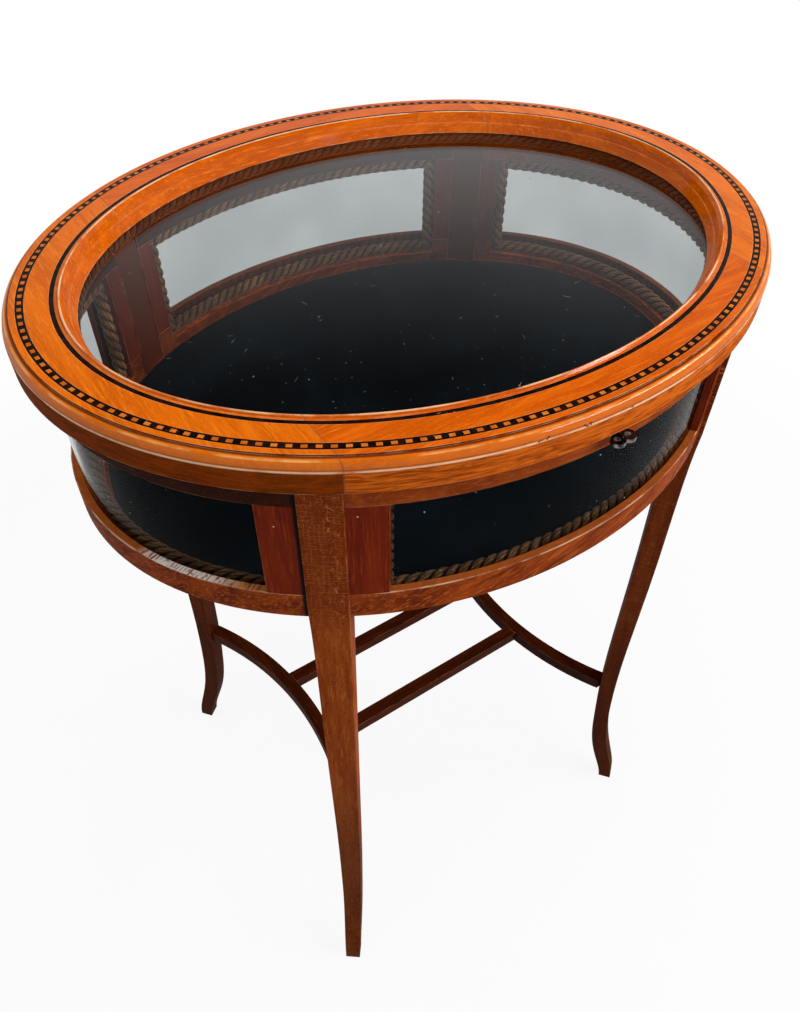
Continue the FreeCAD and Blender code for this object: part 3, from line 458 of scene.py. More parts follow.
def lid_arris(graph, place, body):
    """Painted highlight in patches along the arris above the fascia, with dark nicks in one stretch of the
    front.
    """
    x, y, z = graph.axes(place)
    # Painted highlight along the arris, in patches
    arris = graph.layer(z, *ARRIS_BAND, 0.3)
    highlight_patches = graph.patchy(place, 26.0, 0.34, 0.56, 0.0, 0.7)
    body = graph.paint(body, graph.times(arris, highlight_patches), ARRIS_HIGHLIGHT)
    edge = graph.layer(z, *NICK_BAND, 0.4)
    knocked = graph.times(graph.band(x, *NICKED, 10.0 * MM), graph.span(y, 0.0, -0.1))
    nicks = graph.patchy(place, 260.0, 0.60, 0.64, detail=2.0)
    return graph.paint(body, graph.times(edge, knocked, nicks, 0.95), NICK_DARK)


def lid_wood(name, grain, seed):
    """Orange veneer of the lid's frame, with its fascia, rounded edge, wear, painted highlights and painted
    shade; the fascia is duller.
    """
    graph = new_graph(name)
    place = graph.place()
    x, _, z = graph.axes(place)
    body, relief = figured_wood(graph, place, grain, LID_TONES[grain], LID_PORES, seed)
    ticks = graph.noise(graph.scaled(place, GRAIN_SCALES[grain]), *TICKS)
    body = graph.paint(body, graph.span(ticks, 0.56, 0.72, 0.0, 0.5), LID_TICKS)
    body = lid_sides(graph, place, grain, body)
    body = lid_profile(graph, place, body)
    # Edges worn pale, also standing in as painted highlight
    body = worn_edges(graph, place, body, 0.9, (70.0, 0.34, 0.60), 0.6, LID_WEAR_AND_HIGHLIGHT)
    body = joint_dirt(graph, x, body)
    body = lid_arris(graph, place, body)
    gloss = graph.rise(z, *GLOSS_RISE, *LID_COAT)
    return polished(graph, place, body, relief, coat=gloss, **LID_FINISH)


def moulding_wood(name, grain, seed):
    """Redder, well-polished wood of the raised moulding: worn pale edges that also stand in as painted
    highlight, and a painted highlight in patches along the crest.
    """
    graph = new_graph(name)
    place = graph.place()
    x, _, z = graph.axes(place)
    body, relief = figured_wood(graph, place, grain, MOULDING_TONES, MOULDING_PORES, seed)
    # Worn pale edges, also a painted highlight
    body = worn_edges(graph, place, body, 0.9, (90.0, 0.36, 0.60), 0.75, MOULDING_WEAR_AND_HIGHLIGHT)
    # Painted highlight along the crest, in patches
    crest = graph.rise(z, *CREST_RISE)
    highlight_patches = graph.patchy(place, 30.0, 0.36, 0.58, 0.0, 0.65)
    body = graph.paint(body, graph.times(crest, highlight_patches), CREST_HIGHLIGHT)
    body = joint_dirt(graph, x, body)
    return polished(graph, place, body, relief, **MOULDING_FINISH)


def leg_cast_shadow(graph, place, body):
    """Painted shadow that the nearest leg casts on the pieces left of it, darkest next to the leg."""
    sideways = graph.axes(graph.turned(place, (0.0, 0.0, -NEAR_LEG_TURN)))[1]
    middle = (Matrix.Rotation(-NEAR_LEG_TURN, 3, "Z") @ -LEG_FACE).y * MM
    reach = graph.math("SUBTRACT", middle, sideways)
    shade = graph.span(reach, (LEG_HALF_WIDTH + 4.2) * MM, (LEG_HALF_WIDTH + 1.6) * MM, 0.0, 0.97)
    return graph.paint(body, shade, LEG_SHADOW_TONE)


def on_sill(graph, place):
    """1 on the level lip outside the glass."""
    level = graph.span(graph.axes(graph.facing())[2], 0.6, 0.9)
    z = graph.axes(place)[2]
    return graph.times(level, graph.layer(z, SILL - 0.6, SILL + 0.6, 0.2))


def sill_lip(graph, place, body):
    """Lighter lip of the bottom rail, with a painted highlight in patches along its outer arris."""
    body = graph.paint(body, graph.times(on_sill(graph, place), 0.5), LIP_TONE)
    outer = graph.span(oval_reach(graph, place, CASE_HALF_AXES), 0.9955, 0.9985)
    z = graph.axes(place)[2]
    # Painted highlight along the outer arris
    arris = graph.times(outer, graph.rise(z, SILL - 0.9, SILL - 0.3))
    highlight_patches = graph.patchy(place, 40.0, 0.40, 0.60, 0.0, 0.7)
    return graph.paint(body, graph.times(arris, highlight_patches), LIP_ARRIS_HIGHLIGHT)


def flaked_lip(graph, place, body):
    """Lip whose finish has turned tan and white and cracked across."""
    x, y, _ = graph.axes(place)
    turn = graph.math("ARCTAN2", graph.times(y, CASE_HALF_AXES[0] / CASE_HALF_AXES[1]), x)
    run = graph.times(turn, 0.5 * sum(CASE_HALF_AXES) * MM)
    cracks = graph.noise(graph.join(run, graph.times(x, 0.1)), *FLAKE_CRACKS)
    finish = graph.paint(FLAKE_TAN, graph.span(y, *TANNED), FLAKE_WHITE)
    cracked = graph.paint(FLAKE_CRACK, graph.span(cracks, 0.40, 0.50), finish)
    stretch = graph.band(y, *FLAKED, 7.0 * MM)
    ragged = graph.patchy(place, 210.0, 0.30, 0.46, detail=3.0)
    return graph.paint(body, graph.times(on_sill(graph, place), stretch, ragged, 0.9), cracked)


def pin_spot(*middle):
    """Small pale spot of filler over a pin, at a place in millimetres."""
    def spot(graph, place, body):
        distance = graph.vector("DISTANCE", place, tuple(value * MM for value in middle))["Value"]
        return graph.paint(body, graph.span(distance, 0.65 * MM, 0.4 * MM), PIN_FILLER)
    return spot


def inner_face(graph, place):
    """1 on faces that look into the case."""
    outward = graph.vector("DOT_PRODUCT", graph.facing(), graph.scaled(place, (1.0, 1.0, 0.0)))["Value"]
    return graph.span(outward, -0.03, -0.10)


def case_wood(name, grain, tones, seed, *details, slant=0.0):
    """Red-brown polished wood with painted shade on its inner faces, worn arrises whose pale also stands in
    as painted highlight, and the details that each piece shows.
    """
    graph = new_graph(name)
    place = graph.place()
    body, relief = figured_wood(graph, place, grain, tones, CASE_PORES, seed, slant)
    # Painted shade on the inner faces
    body = graph.paint(body, graph.times(inner_face(graph, place), 0.55), INNER_PAINTED_SHADE)
    # Edges worn pale, also standing in as painted highlight
    body = worn_edges(graph, place, body, 0.7, (60.0, 0.38, 0.60), 0.65, CASE_WEAR_AND_HIGHLIGHT)
    for detail in details:
        body = detail(graph, place, body)
    return polished(graph, place, body, relief, **CASE_FINISH)


def crazing(graph, place):
    """Share of pale cracks in old varnish: a fine net of hairlines, and a few longer level ones."""
    x, y, z = graph.axes(place)
    ahead = graph.times(graph.math("ABSOLUTE", y), math.cos(LEG_TURN))
    across = graph.math("SUBTRACT", ahead, graph.times(graph.math("ABSOLUTE", x), math.sin(LEG_TURN)))
    right = graph.math("GREATER_THAN", x, 0.0)
    back = graph.math("GREATER_THAN", y, 0.0)
    corner = graph.math("ADD", graph.times(right, RIGHT_SHIFT), graph.times(back, BACK_SHIFT))

    def cracks(wide, high, randomness, width, strength):
        grid = graph.join(graph.math("ADD", graph.times(across, wide), corner), graph.times(z, high))
        return graph.span(graph.cells(grid, randomness), width, width * 0.35, 0.0, strength)

    def broken(lines, scale, low, high):
        return graph.times(lines, graph.patchy(place, scale, low, high, detail=2.0))

    fine = broken(cracks(*FINE_CRACKS), *FINE_GAPS)
    level = broken(cracks(*LEVEL_CRACKS), *LEVEL_GAPS)
    outside = graph.rest_of(inner_face(graph, place))
    reach = graph.times(graph.span(z, *LEG_CRAZED, 0.15, 0.85), outside)
    return graph.times(graph.math("MAXIMUM", fine, level), reach)


def leg_wood(name, tones, seed):
    """Brown polished wood with painted shade, darker towards the foot and on the inner faces near the case,
    with crazed varnish near the top and worn arrises.
    """
    graph = new_graph(name)
    place = graph.place()
    z = graph.axes(place)[2]
    body, relief = figured_wood(graph, place, "z", tones, LEG_PORES, seed)
    speckle = graph.span(graph.noise(place, *SPECKLE), 0.46, 0.66, 0.0, 0.4)
    body = graph.paint(body, speckle, LEG_SPECKLE)
    body = graph.paint(body, graph.span(z, *LEG_HEAD, 0.0, 0.6), LEG_HEAD_TONE)
    # Painted shade on the leg's inner faces near the case
    inside = graph.times(inner_face(graph, place), graph.span(z, *LEG_SHADED, 0.3, 0.55))
    body = graph.paint(body, inside, INNER_PAINTED_SHADE)
    cracks = crazing(graph, place)
    body = graph.paint(body, cracks, CRAZING_PALE)
    # Painted shade, darker towards the foot
    body = graph.paint(body, graph.span(z, *LEG_SHADED_FOOT, 0.0, 0.6), LEG_FOOT_SHADE)
    share = graph.span(z, *LEG_RUBBED, 0.3, 0.65)
    body = worn_edges(graph, place, body, 0.8, (60.0, 0.38, 0.60), share, LEG_WEAR)
    height = graph.math("SUBTRACT", relief, cracks)
    return polished(graph, place, body, height, **LEG_FINISH)


# Ebonised and boxwood inlay, each with the tone of the filler that flecks it
EBONISED_TONES = (colour(18, 8, 5), colour(38, 20, 13))
EBONISED_FLECK = colour(196, 170, 144)
BOXWOOD_TONES = (colour(188, 90, 18), colour(216, 120, 40))
BOXWOOD_FLECK = colour(244, 190, 124)


def inlay(name, tones, fleck_tone, fleck_share, seed):
    """Small inlay pieces under polish, each a little different, with a few pale flecks of filler."""
    graph = new_graph(name)
    place = graph.moved(graph.place(), (seed, seed, seed))
    patch = graph.noise(place, 110.0, 1.0)
    grain = graph.noise(place, 900.0)
    dark, light = tones
    body = graph.paint(dark, graph.span(patch, 0.35, 0.65), light)
    body = graph.paint(body, graph.span(grain, 0.4, 0.7, 0.0, 0.35), dark)
    flecks = graph.patchy(place, 640.0, 0.66, 0.72, 0.0, fleck_share, detail=2.0)
    clusters = graph.patchy(place, 22.0, 0.56, 0.66, detail=2.0)
    body = graph.paint(body, graph.times(flecks, clusters), fleck_tone)
    return graph.surface(
        Base_Color=body, Roughness=graph.span(patch, 0.3, 0.7, 0.26, 0.38),
        Normal=graph.bump(grain, 0.12, 0.15 * MM),
        Specular_IOR_Level=0.0, Coat_Weight=0.24, Coat_Roughness=0.07,
    )


# Glass: two tints that it wavers between, how strongly it bends light, and what it takes from a lamp's light
LID_GLASS_TINTS = ((0.75, 0.78, 0.79, 1.0), (0.79, 0.81, 0.81, 1.0))
LID_GLASS_INDEX = 1.25
PANE_TINTS = ((0.46, 0.49, 0.49, 1.0), (0.56, 0.58, 0.58, 1.0))
PANE_INDEX = 1.04
LAMPLIGHT_TINT = (0.86, 0.88, 0.88, 1.0)
DUST_TONES = (colour(120, 132, 136), colour(222, 228, 228))


def old_glass(name, tints, index):
    """Old glass, faintly uneven in tone; lamps shine through it."""
    graph = new_graph(name)
    tone = graph.patchy(graph.place(), 9.0, 0.3, 0.7, detail=2.0)
    pane = graph.add("ShaderNodeBsdfPrincipled", {
        "Base Color": graph.paint(tints[0], tone, tints[1]),
        "Roughness": 0.0, "IOR": index, "Transmission Weight": 1.0,
    })
    through = graph.add("ShaderNodeBsdfTransparent", {"Color": LAMPLIGHT_TINT})
    shadow = graph.add("ShaderNodeLightPath").outputs["Is Shadow Ray"]
    inputs = {0: shadow, 1: pane.outputs[0], 2: through.outputs[0]}
    return graph.show(graph.add("ShaderNodeMixShader", inputs))


def glass_dust(name):
    """Pale specks of dust and fine scratches on glass."""
    graph = new_graph(name)
    tone = graph.noise(graph.place(), 60.0, 2.0)
    body = graph.paint(DUST_TONES[0], graph.span(tone, 0.35, 0.65), DUST_TONES[1])
    return graph.surface(Base_Color=body, Roughness=0.6, Alpha=graph.span(tone, 0.3, 0.7, 0.35, 0.95))


# Rope: dark and light tone of each, and how many yarns lie round a strand and how fast they turn
ROPE_TONES = (colour(98, 57, 25), colour(140, 92, 50))
LID_ROPE_TONES = (colour(52, 32, 20), colour(82, 56, 40))
# Painted shade in the grooves between yarns and where the strands bed on each other
YARN_GROOVE_SHADE = colour(44, 26, 14)
ROPE_FUZZ = colour(164, 114, 68)
STRAND_CREVICE_SHADE = colour(8, 4, 2)
YARNS = 7.0
YARN_TURN = 0.9


def rope_fibre(name, tones):
    """Brown rope: yarns lie along each strand, with painted shade in the grooves between yarns and where the
    strands bed on each other.
    """
    graph = new_graph(name)
    along, around, _ = graph.axes(graph.add("ShaderNodeUVMap", uv_map="strand").outputs[0])
    turns = graph.math("ADD", graph.times(around, YARNS), graph.times(along, YARN_TURN))
    yarn = graph.span(graph.math("SINE", graph.times(turns, math.tau)), -1.0, 1.0)
    place = graph.place()
    fuzz = graph.noise(place, 1400.0, 3.0)
    body = graph.paint(tones[0], graph.patchy(place, 45.0, 0.35, 0.65, detail=3.0), tones[1])
    # Painted shade in the grooves between yarns
    body = graph.paint(YARN_GROOVE_SHADE, graph.span(yarn, 0.0, 0.8, 0.3, 1.0), body)
    body = graph.paint(body, graph.span(fuzz, 0.55, 0.75, 0.0, 0.3), ROPE_FUZZ)
    # Painted shade where the strands bed on each other
    half_turn = graph.math("FRACT", graph.math("ADD", around, 0.5))
    inward = graph.math("ABSOLUTE", graph.math("SUBTRACT", half_turn, 0.5))
    body = graph.paint(body, graph.span(inward, 0.10, 0.22, 0.0, 0.97), STRAND_CREVICE_SHADE)
    height = graph.math("ADD", yarn, graph.times(fuzz, 0.6))
    return graph.surface(
        Base_Color=body, Roughness=0.72, Normal=graph.bump(height, 0.6, 0.35 * MM),
        Specular_IOR_Level=0.15, Sheen_Weight=0.12, Sheen_Roughness=0.45,
    )


VELVET_TONES = (colour(5, 8, 11), colour(13, 20, 26))
PILE_TONE = colour(22, 31, 39)
LINT_TONE = colour(150, 156, 156)
VELVET_SHEEN = (0.30, 0.40, 0.52, 1.0)


def velvet(name):
    """Midnight-blue pile, brushed in soft patches, with a little lint."""
    graph = new_graph(name)
    place = graph.place()
    brushed = graph.noise(place, 9.0, 4.0, 0.6, 1.0)
    pile = graph.noise(place, 1600.0, 3.0)
    body = graph.paint(VELVET_TONES[0], graph.span(brushed, 0.35, 0.68), VELVET_TONES[1])
    body = graph.paint(body, graph.span(pile, 0.45, 0.75, 0.0, 0.06), PILE_TONE)
    body = graph.paint(body, graph.patchy(place, 330.0, 0.765, 0.79, 0.0, 0.6, detail=1.0), LINT_TONE)
    return graph.surface(
        Base_Color=body, Roughness=0.95, Normal=graph.bump(pile, 0.02, 0.4 * MM), Specular_IOR_Level=0.0,
        Sheen_Weight=0.04, Sheen_Roughness=0.35, Sheen_Tint=VELVET_SHEEN,
    )


BRASS_TONES = (colour(112, 78, 36), colour(196, 158, 88))
STEEL_TONES = (colour(10, 9, 9), colour(128, 126, 124))
SCRATCH_SCALES = (1.0, 14.0, 14.0)


def old_metal(name, tones, roughness, seed):
    """Worn metal: tarnish in patches, bright along the edges, fine scratches."""
    graph = new_graph(name)
    place = graph.moved(graph.place(), (seed, seed, seed))
    patch = graph.noise(place, 160.0)
    lines = graph.noise(graph.scaled(place, SCRATCH_SCALES), 300.0, 3.0)
    dark, light = tones
    body = graph.paint(dark, graph.span(patch, 0.40, 0.66), light)
    body = graph.paint(body, graph.edge_wear(0.3 * MM), light)
    tarnish = graph.span(patch, 0.3, 0.7, roughness + 0.16, roughness)
    return graph.surface(
        Base_Color=body, Metallic=1.0,
        Roughness=graph.math("ADD", tarnish, graph.span(lines, 0.4, 0.7, 0.0, 0.1)),
        Normal=graph.bump(lines, 0.15, 0.05 * MM, graph.rounded(0.25 * MM)),
    )


def dress(material, *nodes):
    """Gives CAD nodes a material."""
    for node in nodes:
        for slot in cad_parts[node].material_slots:
            slot.material = material


def dress_lid():
    for grain, sides in (("x", ("front", "back")), ("y", ("left", "right"))):
        dress(lid_wood("lid_veneer_" + grain, grain, 0.0), *("lid_rail_" + side for side in sides))
        moulding = moulding_wood("lid_moulding_" + grain, grain, 0.37)
        dress(moulding, *("lid_moulding_" + side for side in sides))
    dark = inlay("inlay_ebonised", EBONISED_TONES, EBONISED_FLECK, 0.55, 0.07)
    dress(dark, "chequer_band", "string_line")
    dress(inlay("inlay_boxwood", BOXWOOD_TONES, BOXWOOD_FLECK, 0.4, 0.43), "chequer_tiles")
    dress(old_glass("glass_lid", LID_GLASS_TINTS, LID_GLASS_INDEX), "lid_glass")


# Slant of the grain in the bottom rails, and the filled pins in the stiles beside the nearest leg
RAIL_SLANT = math.radians(24.0)
FRONT_PIN = (-159.4, -175.9, 687.0)
LEFT_PIN = (-199.8, -148.1, 678.0)


def dress_rails():
    dress(case_wood("top_rail_front", "x", TOP_RAIL_TONES, 0.11), "top_rail_front")
    # The back and left top rails take darker tones as painted shade
    dress(case_wood("top_rail_back", "x", PAINTED_SHADE_RAIL_TONES, 0.15), "top_rail_back")
    dress(case_wood("top_rail_right", "y", TOP_RAIL_TONES, 0.53), "top_rail_right")
    # The left top rail also carries the nearest leg's painted shadow
    dress(case_wood("top_rail_left", "y", PAINTED_SHADE_RAIL_TONES, 0.57, leg_cast_shadow), "top_rail_left")

    def bottom_rail(name, grain, seed, *details):
        return case_wood(name, grain, BOTTOM_RAIL_TONES, seed, *details, slant=RAIL_SLANT)

    long_rail = bottom_rail("bottom_rail_long", "x", 0.11, sill_lip)
    dress(long_rail, "bottom_rail_front", "bottom_rail_back", "base_board")
    dress(bottom_rail("bottom_rail_end", "y", 0.53, sill_lip), "bottom_rail_right")
    # The flaked rail also carries the nearest leg's painted shadow
    flaked = bottom_rail("bottom_rail_flaked", "y", 0.61, sill_lip, flaked_lip, leg_cast_shadow)
    dress(flaked, "bottom_rail_left")


def dress_stiles():
    front = case_wood("stile_front_left", "z", STILE_TONES, 0.29, pin_spot(*FRONT_PIN))
    dress(front, "stile_front_left")
    # Painted shadow of the nearest leg on this stile
    left = case_wood("stile_leg_shadow", "z", STILE_TONES, 0.71, pin_spot(*LEFT_PIN), leg_cast_shadow)
    dress(left, "stile_left_front")
    dress(
        case_wood("stile", "z", STILE_TONES, 0.43), "stile_front_right", "stile_right_front",
        "stile_back_left", "stile_left_back", "stile_back_right", "stile_right_back",
    )


def dress_stand():
    near, *others = ("leg_" + corner for corner in CORNERS)
    # Lit copy for the nearest leg and shaded copy for the others, as painted light and shade
    dress(leg_wood("leg_near_lit", NEAR_LEG_LIT_TONES, 0.19), near)
    dress(leg_wood("leg_far_shaded", LEG_TONES, 0.19), *others)
    long_wood = case_wood("stretcher_long", "x", STRETCHER_TONES, 0.83)
    dress(long_wood, "long_stretcher_front", "long_stretcher_back")
    end_wood = case_wood("stretcher_end", "y", STRETCHER_TONES, 0.91)
    dress(end_wood, "end_stretcher_left", "end_stretcher_right")


def dress_panes():
    pane = old_glass("glass_pane", PANE_TINTS, PANE_INDEX)
    dress(pane, *("side_glass_" + side for side in SIDES))


def dress_metal():
    brass = old_metal("brass_aged", BRASS_TONES, 0.3, 0.13)
    leaves = [f"hinge_{part}_leaf_{hand}" for part in ("case", "lid") for hand in ("left", "right")]
    dress(brass, *leaves, "hinge_pins", "hinge_screws_case", "hinge_screws_lid", "escutcheon")
    dress(brass, "lock_case", "lock_bolt", "lock_staple")
    dress(old_metal("steel_dark", STEEL_TONES, 0.2, 0.61), "key")


def add_object(name, data):
    """New object in the scene."""
    piece = bpy.data.objects.new(name, data)
    bpy.context.scene.collection.objects.link(piece)
    return piece


def add_piece(name, points, faces, material, body):
    """New mesh piece that rides on a body; points are in millimetres."""
    mesh = bpy.data.meshes.new(name)
    mesh.from_pydata([Vector(point) * MM for point in points], [], faces)
    mesh.materials.append(material)
    mesh.shade_smooth()
    piece = add_object(name, mesh)
    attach(piece, body)
    return piece


def oval_point(half_axes, inset, angle, height):
    return Vector((
        (half_axes[0] - inset) * math.cos(angle), (half_axes[1] - inset) * math.sin(angle), height,
    ))


def smooth_loop(controls, resolution):
    """Points along a closed smooth line drawn by its control points."""
    curve = bpy.data.curves.new("route", "CURVE")
    curve.dimensions = "3D"
    spline = curve.splines.new("NURBS")
    spline.points.add(len(controls) - 1)
    for point, control in zip(spline.points, controls):
        point.co = (*control, 1.0)
    spline.use_cyclic_u = True
    spline.order_u = 3
    spline.resolution_u = resolution
    holder = bpy.data.objects.new("route", curve)
    mesh = bpy.data.meshes.new_from_object(holder)
    line = [vertex.co.copy() for vertex in mesh.vertices]
    bpy.data.meshes.remove(mesh)
    bpy.data.objects.remove(holder)
    bpy.data.curves.remove(curve)
    return line


def even_loop(line, step):
    """Closed line resampled at an even step; returns its points and length."""
    ends = line[1:] + line[:1]
    lengths = [(end - start).length for start, end in zip(line, ends)]
    total = sum(lengths)
    count = round(total / step)
    points = []
    index, passed = 0, 0.0
    for number in range(count):
        wanted = total * number / count
        while passed + lengths[index] < wanted:
            passed += lengths[index]
            index += 1
        share = (wanted - passed) / lengths[index]
        points.append(line[index].lerp(ends[index], share))
    return points, total


# Twisted rope: strands and the sides of each, how far they flatten and press into each other,
# the step along it in millimetres, and the length of one twist in radii
STRANDS = 3
STRAND_SIDES = 9
STRAND_SQUASH = 1.08
STRAND_BEDDING = 1.06
ROPE_STEP = 1.5
ROPE_LAY = 5.2
ROUTE_RESOLUTION = 16


def rope_frames(points):
    """Tangents and steady sideways directions along a closed line, and the turn left over at its end."""
    count = len(points)
    tangents = [(points[(n + 1) % count] - points[n - 1]).normalized() for n in range(count)]
    side = tangents[0].orthogonal().normalized()
    sides = []
    for tangent in tangents:
        side = (side - tangent * side.dot(tangent)).normalized()
        sides.append(side)
    closing = (sides[0] - tangents[-1] * sides[0].dot(tangents[-1])).normalized()
    drift = math.atan2(sides[-1].cross(closing).dot(tangents[-1]), sides[-1].dot(closing))
    return tangents, sides, drift


def rope(name, controls, radius, material, body):
    """Closed twisted rope of three strands along a smooth line."""
    points, total = even_loop(smooth_loop(controls, ROUTE_RESOLUTION), ROPE_STEP)
    tangents, sides, drift = rope_frames(points)
    count = len(points)
    turns = round(total / (ROPE_LAY * radius))
    strand = radius / (1 + 2 / math.sqrt(3)) * STRAND_BEDDING
    swing = radius - strand
    lean = math.atan2(swing * math.tau * turns, total)
    vertices, faces, corners = [], [], []
    for number in range(STRANDS):
        start = len(vertices)
        for index, (point, tangent, side) in enumerate(zip(points, tangents, sides)):
            share = index / count
            phase = drift * share - math.tau * (turns * share + number / STRANDS)
            outward = side * math.cos(phase) + tangent.cross(side) * math.sin(phase)
            heading = tangent * math.cos(lean) - tangent.cross(outward) * math.sin(lean)
            wide = outward.cross(heading).normalized() * STRAND_SQUASH
            for corner in range(STRAND_SIDES):
                turn = math.tau * corner / STRAND_SIDES
                rim = outward * math.cos(turn) + wide * math.sin(turn)
                vertices.append(point + outward * swing + rim * strand)
        for index in range(count):
            here = start + index * STRAND_SIDES
            there = start + (index + 1) % count * STRAND_SIDES
            low, high = index * ROPE_STEP / strand, (index + 1) * ROPE_STEP / strand
            for corner in range(STRAND_SIDES):
                follow = (corner + 1) % STRAND_SIDES
                faces.append((here + corner, here + follow, there + follow, there + corner))
                left, right = corner / STRAND_SIDES, (corner + 1) / STRAND_SIDES
                corners.extend(((low, left), (low, right), (high, right), (high, left)))
    piece = add_piece(name, vertices, faces, material, body)
    layer = piece.data.uv_layers.new(name="strand")
    layer.data.foreach_set("uv", [value for pair in corners for value in pair])
    return piece


# Control points along one run of a pane's cord and round the lid's cord,
# and the length that the bends at the corners are measured against
PANE_RUNS = 10
LID_CORD_POINTS = 64
BEND_REACH = LID_HALF_AXES[0] * 0.55


def cord_spread(side):
    """Half spread of a cord's foot about the middle of its side, as an angle of the oval."""
    axis = 0 if side in ("front", "back") else 1
    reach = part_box("glazing_cord_" + side)[1][axis] / MM - CORD_RADIUS
    return math.asin(reach / (LID_HALF_AXES[axis] - CORD_INSET))


def pane_route(side):
    """Control points round the inside of one pane: along the foot, up, back along the head, down."""
    middle = math.radians(SIDE_MIDDLE[side])
    spread = cord_spread(side)
    foot, head = REBATE_FLOOR + CORD_REACH, PANE_TOP - CORD_REACH
    angles = [middle + spread * (2 * step / PANE_RUNS - 1) for step in range(PANE_RUNS + 1)]
    near = spread * CORD_BEND / BEND_REACH
    angles[1:1] = [angles[0] + near]
    angles[-1:-1] = [angles[-1] - near]
    low = [oval_point(LID_HALF_AXES, CORD_INSET, angle, foot) for angle in angles]
    high = [oval_point(LID_HALF_AXES, CORD_INSET, angle, head) for angle in reversed(angles)]
    lift = Vector((0.0, 0.0, CORD_BEND))
    last_up = [low[-1] + lift, (low[-1] + high[0]) / 2, high[0] - lift]
    first_down = [high[-1] - lift, (low[0] + high[-1]) / 2, low[0] + lift]
    return low + last_up + high + first_down


def add_ropes():
    fibre = rope_fibre("rope_fibre", ROPE_TONES)
    for side in SIDES:
        piece = rope("glazing_rope_" + side, pane_route(side), CORD_RADIUS, fibre, "case")
        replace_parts(piece, "glazing_cord_" + side)
    ring = [
        oval_point(LID_HALF_AXES, LID_CORD_INSET, math.tau * step / LID_CORD_POINTS, LID_CORD_HEIGHT)
        for step in range(LID_CORD_POINTS)
    ]
    dark_fibre = rope_fibre("rope_dark", LID_ROPE_TONES)
    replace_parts(rope("lid_rope", ring, LID_CORD_RADIUS, dark_fibre, "lid"), "lid_cord")


VELVET_SPOKES = 96
VELVET_RINGS = 26
VELVET_CLEARANCE = 1.8
VELVET_UNDERSIDE = 0.15

# Velvet's surface in millimetres: its mean level, the heights of slow and quick ripples,
# and how far its rim droops from a share of its reach outwards
RIPPLE_LEVEL = -0.28
SLOW_RIPPLE = 0.18
QUICK_RIPPLE = 0.08
RIM_DROOP = 0.5
DROOP_START = 0.94


def ripple(x, y):
    """Height of the velvet above its CAD level."""
    slow = math.sin(x / 61 + 0.4) * math.cos(y / 53 - 0.9)
    quick = math.sin(x / 23 - y / 31)
    return RIPPLE_LEVEL + SLOW_RIPPLE * slow + QUICK_RIPPLE * quick


def add_velvet():
    """Velvet cut to the oval and laid on the base board, with low soft ripples."""
    half_axes = [axis - RAIL_THICKNESS - VELVET_CLEARANCE for axis in CASE_HALF_AXES]
    top = CASE_BOTTOM + VELVET_THICKNESS
    points = [Vector((0.0, 0.0, top + ripple(0.0, 0.0)))]
    for ring in range(1, VELVET_RINGS + 1):
        share = ring / VELVET_RINGS
        for spoke in range(VELVET_SPOKES):
            angle = math.tau * spoke / VELVET_SPOKES
            x, y = half_axes[0] * share * math.cos(angle), half_axes[1] * share * math.sin(angle)
            droop = RIM_DROOP * max(0.0, share - DROOP_START) / (1 - DROOP_START)
            points.append(Vector((x, y, top + ripple(x, y) - droop)))
    rim = len(points) - VELVET_SPOKES
    points += [Vector((point.x, point.y, CASE_BOTTOM + VELVET_UNDERSIDE)) for point in points[rim:]]
    faces = [(0, 1 + spoke, 1 + (spoke + 1) % VELVET_SPOKES) for spoke in range(VELVET_SPOKES)]
    for ring in range(VELVET_RINGS):
        inner, outer = 1 + ring * VELVET_SPOKES, 1 + (ring + 1) * VELVET_SPOKES
        for spoke in range(VELVET_SPOKES):
            follow = (spoke + 1) % VELVET_SPOKES
            faces.append((inner + spoke, outer + spoke, outer + follow, inner + follow))
    piece = add_piece("velvet_sheet", points, faces, velvet("velvet_pile"), "case")
    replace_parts(piece, "velvet_lining")


# Marks on the glass: how far they lie above it, how many, their least size and how much more
# a large one has, in millimetres
MARK_LIFT = 0.04
LID_SPECKS = 130
LID_SPECK_SIZE = (0.2, 0.4)
LID_SCRATCHES = 110
SCRATCH_LENGTHS = (1.0, 6.5)
SCRATCH_WIDTH = 0.1
SCRATCH_HEADING = (0.6, 0.8)
PANE_SPECKS = 52
PANE_SPECK_SIZE = (0.4, 0.7)
MARK_SEED = 11


class Marks:
    """Small flat patches that lie on glass."""

    def __init__(self):
        self.points = []
        self.faces = []

    def add(self, middle, along, across, length, width):
        start = len(self.points)
        for step, share in ((-0.5, 0.25), (-0.2, 1.0), (0.2, 1.0), (0.5, 0.25)):
            for sign in (-0.5, 0.5):
                self.points.append(middle + along * (length * step) + across * (width * share * sign))
        self.faces.extend((start + n, start + n + 1, start + n + 3, start + n + 2) for n in (0, 2, 4))


def speck_size(chance, least, more):
    """Size of a speck; large ones are rare."""
    return least + more * chance.random() ** 3


def lid_marks(chance):
    """Dust specks and fine scratches on the upper face of the lid glass."""
    marks = Marks()

    def add(length, width, heading):
        reach, angle = 0.98 * math.sqrt(chance.random()), chance.uniform(0.0, math.tau)
        spot = oval_point(LID_HALF_AXES, MOULDING_INNER_INSET + 1.0, angle, 0.0) * reach
        spot.z = LID_GLASS_TOP + MARK_LIFT
        along = Vector((math.cos(heading), math.sin(heading), 0.0))
        marks.add(spot, along, Vector((-along.y, along.x, 0.0)), length, width)

    for _ in range(LID_SPECKS):
        size = speck_size(chance, *LID_SPECK_SIZE)
        add(size * 1.3, size, chance.uniform(0.0, math.tau))
    for _ in range(LID_SCRATCHES):
        add(chance.uniform(*SCRATCH_LENGTHS), SCRATCH_WIDTH, chance.gauss(*SCRATCH_HEADING))
    return marks


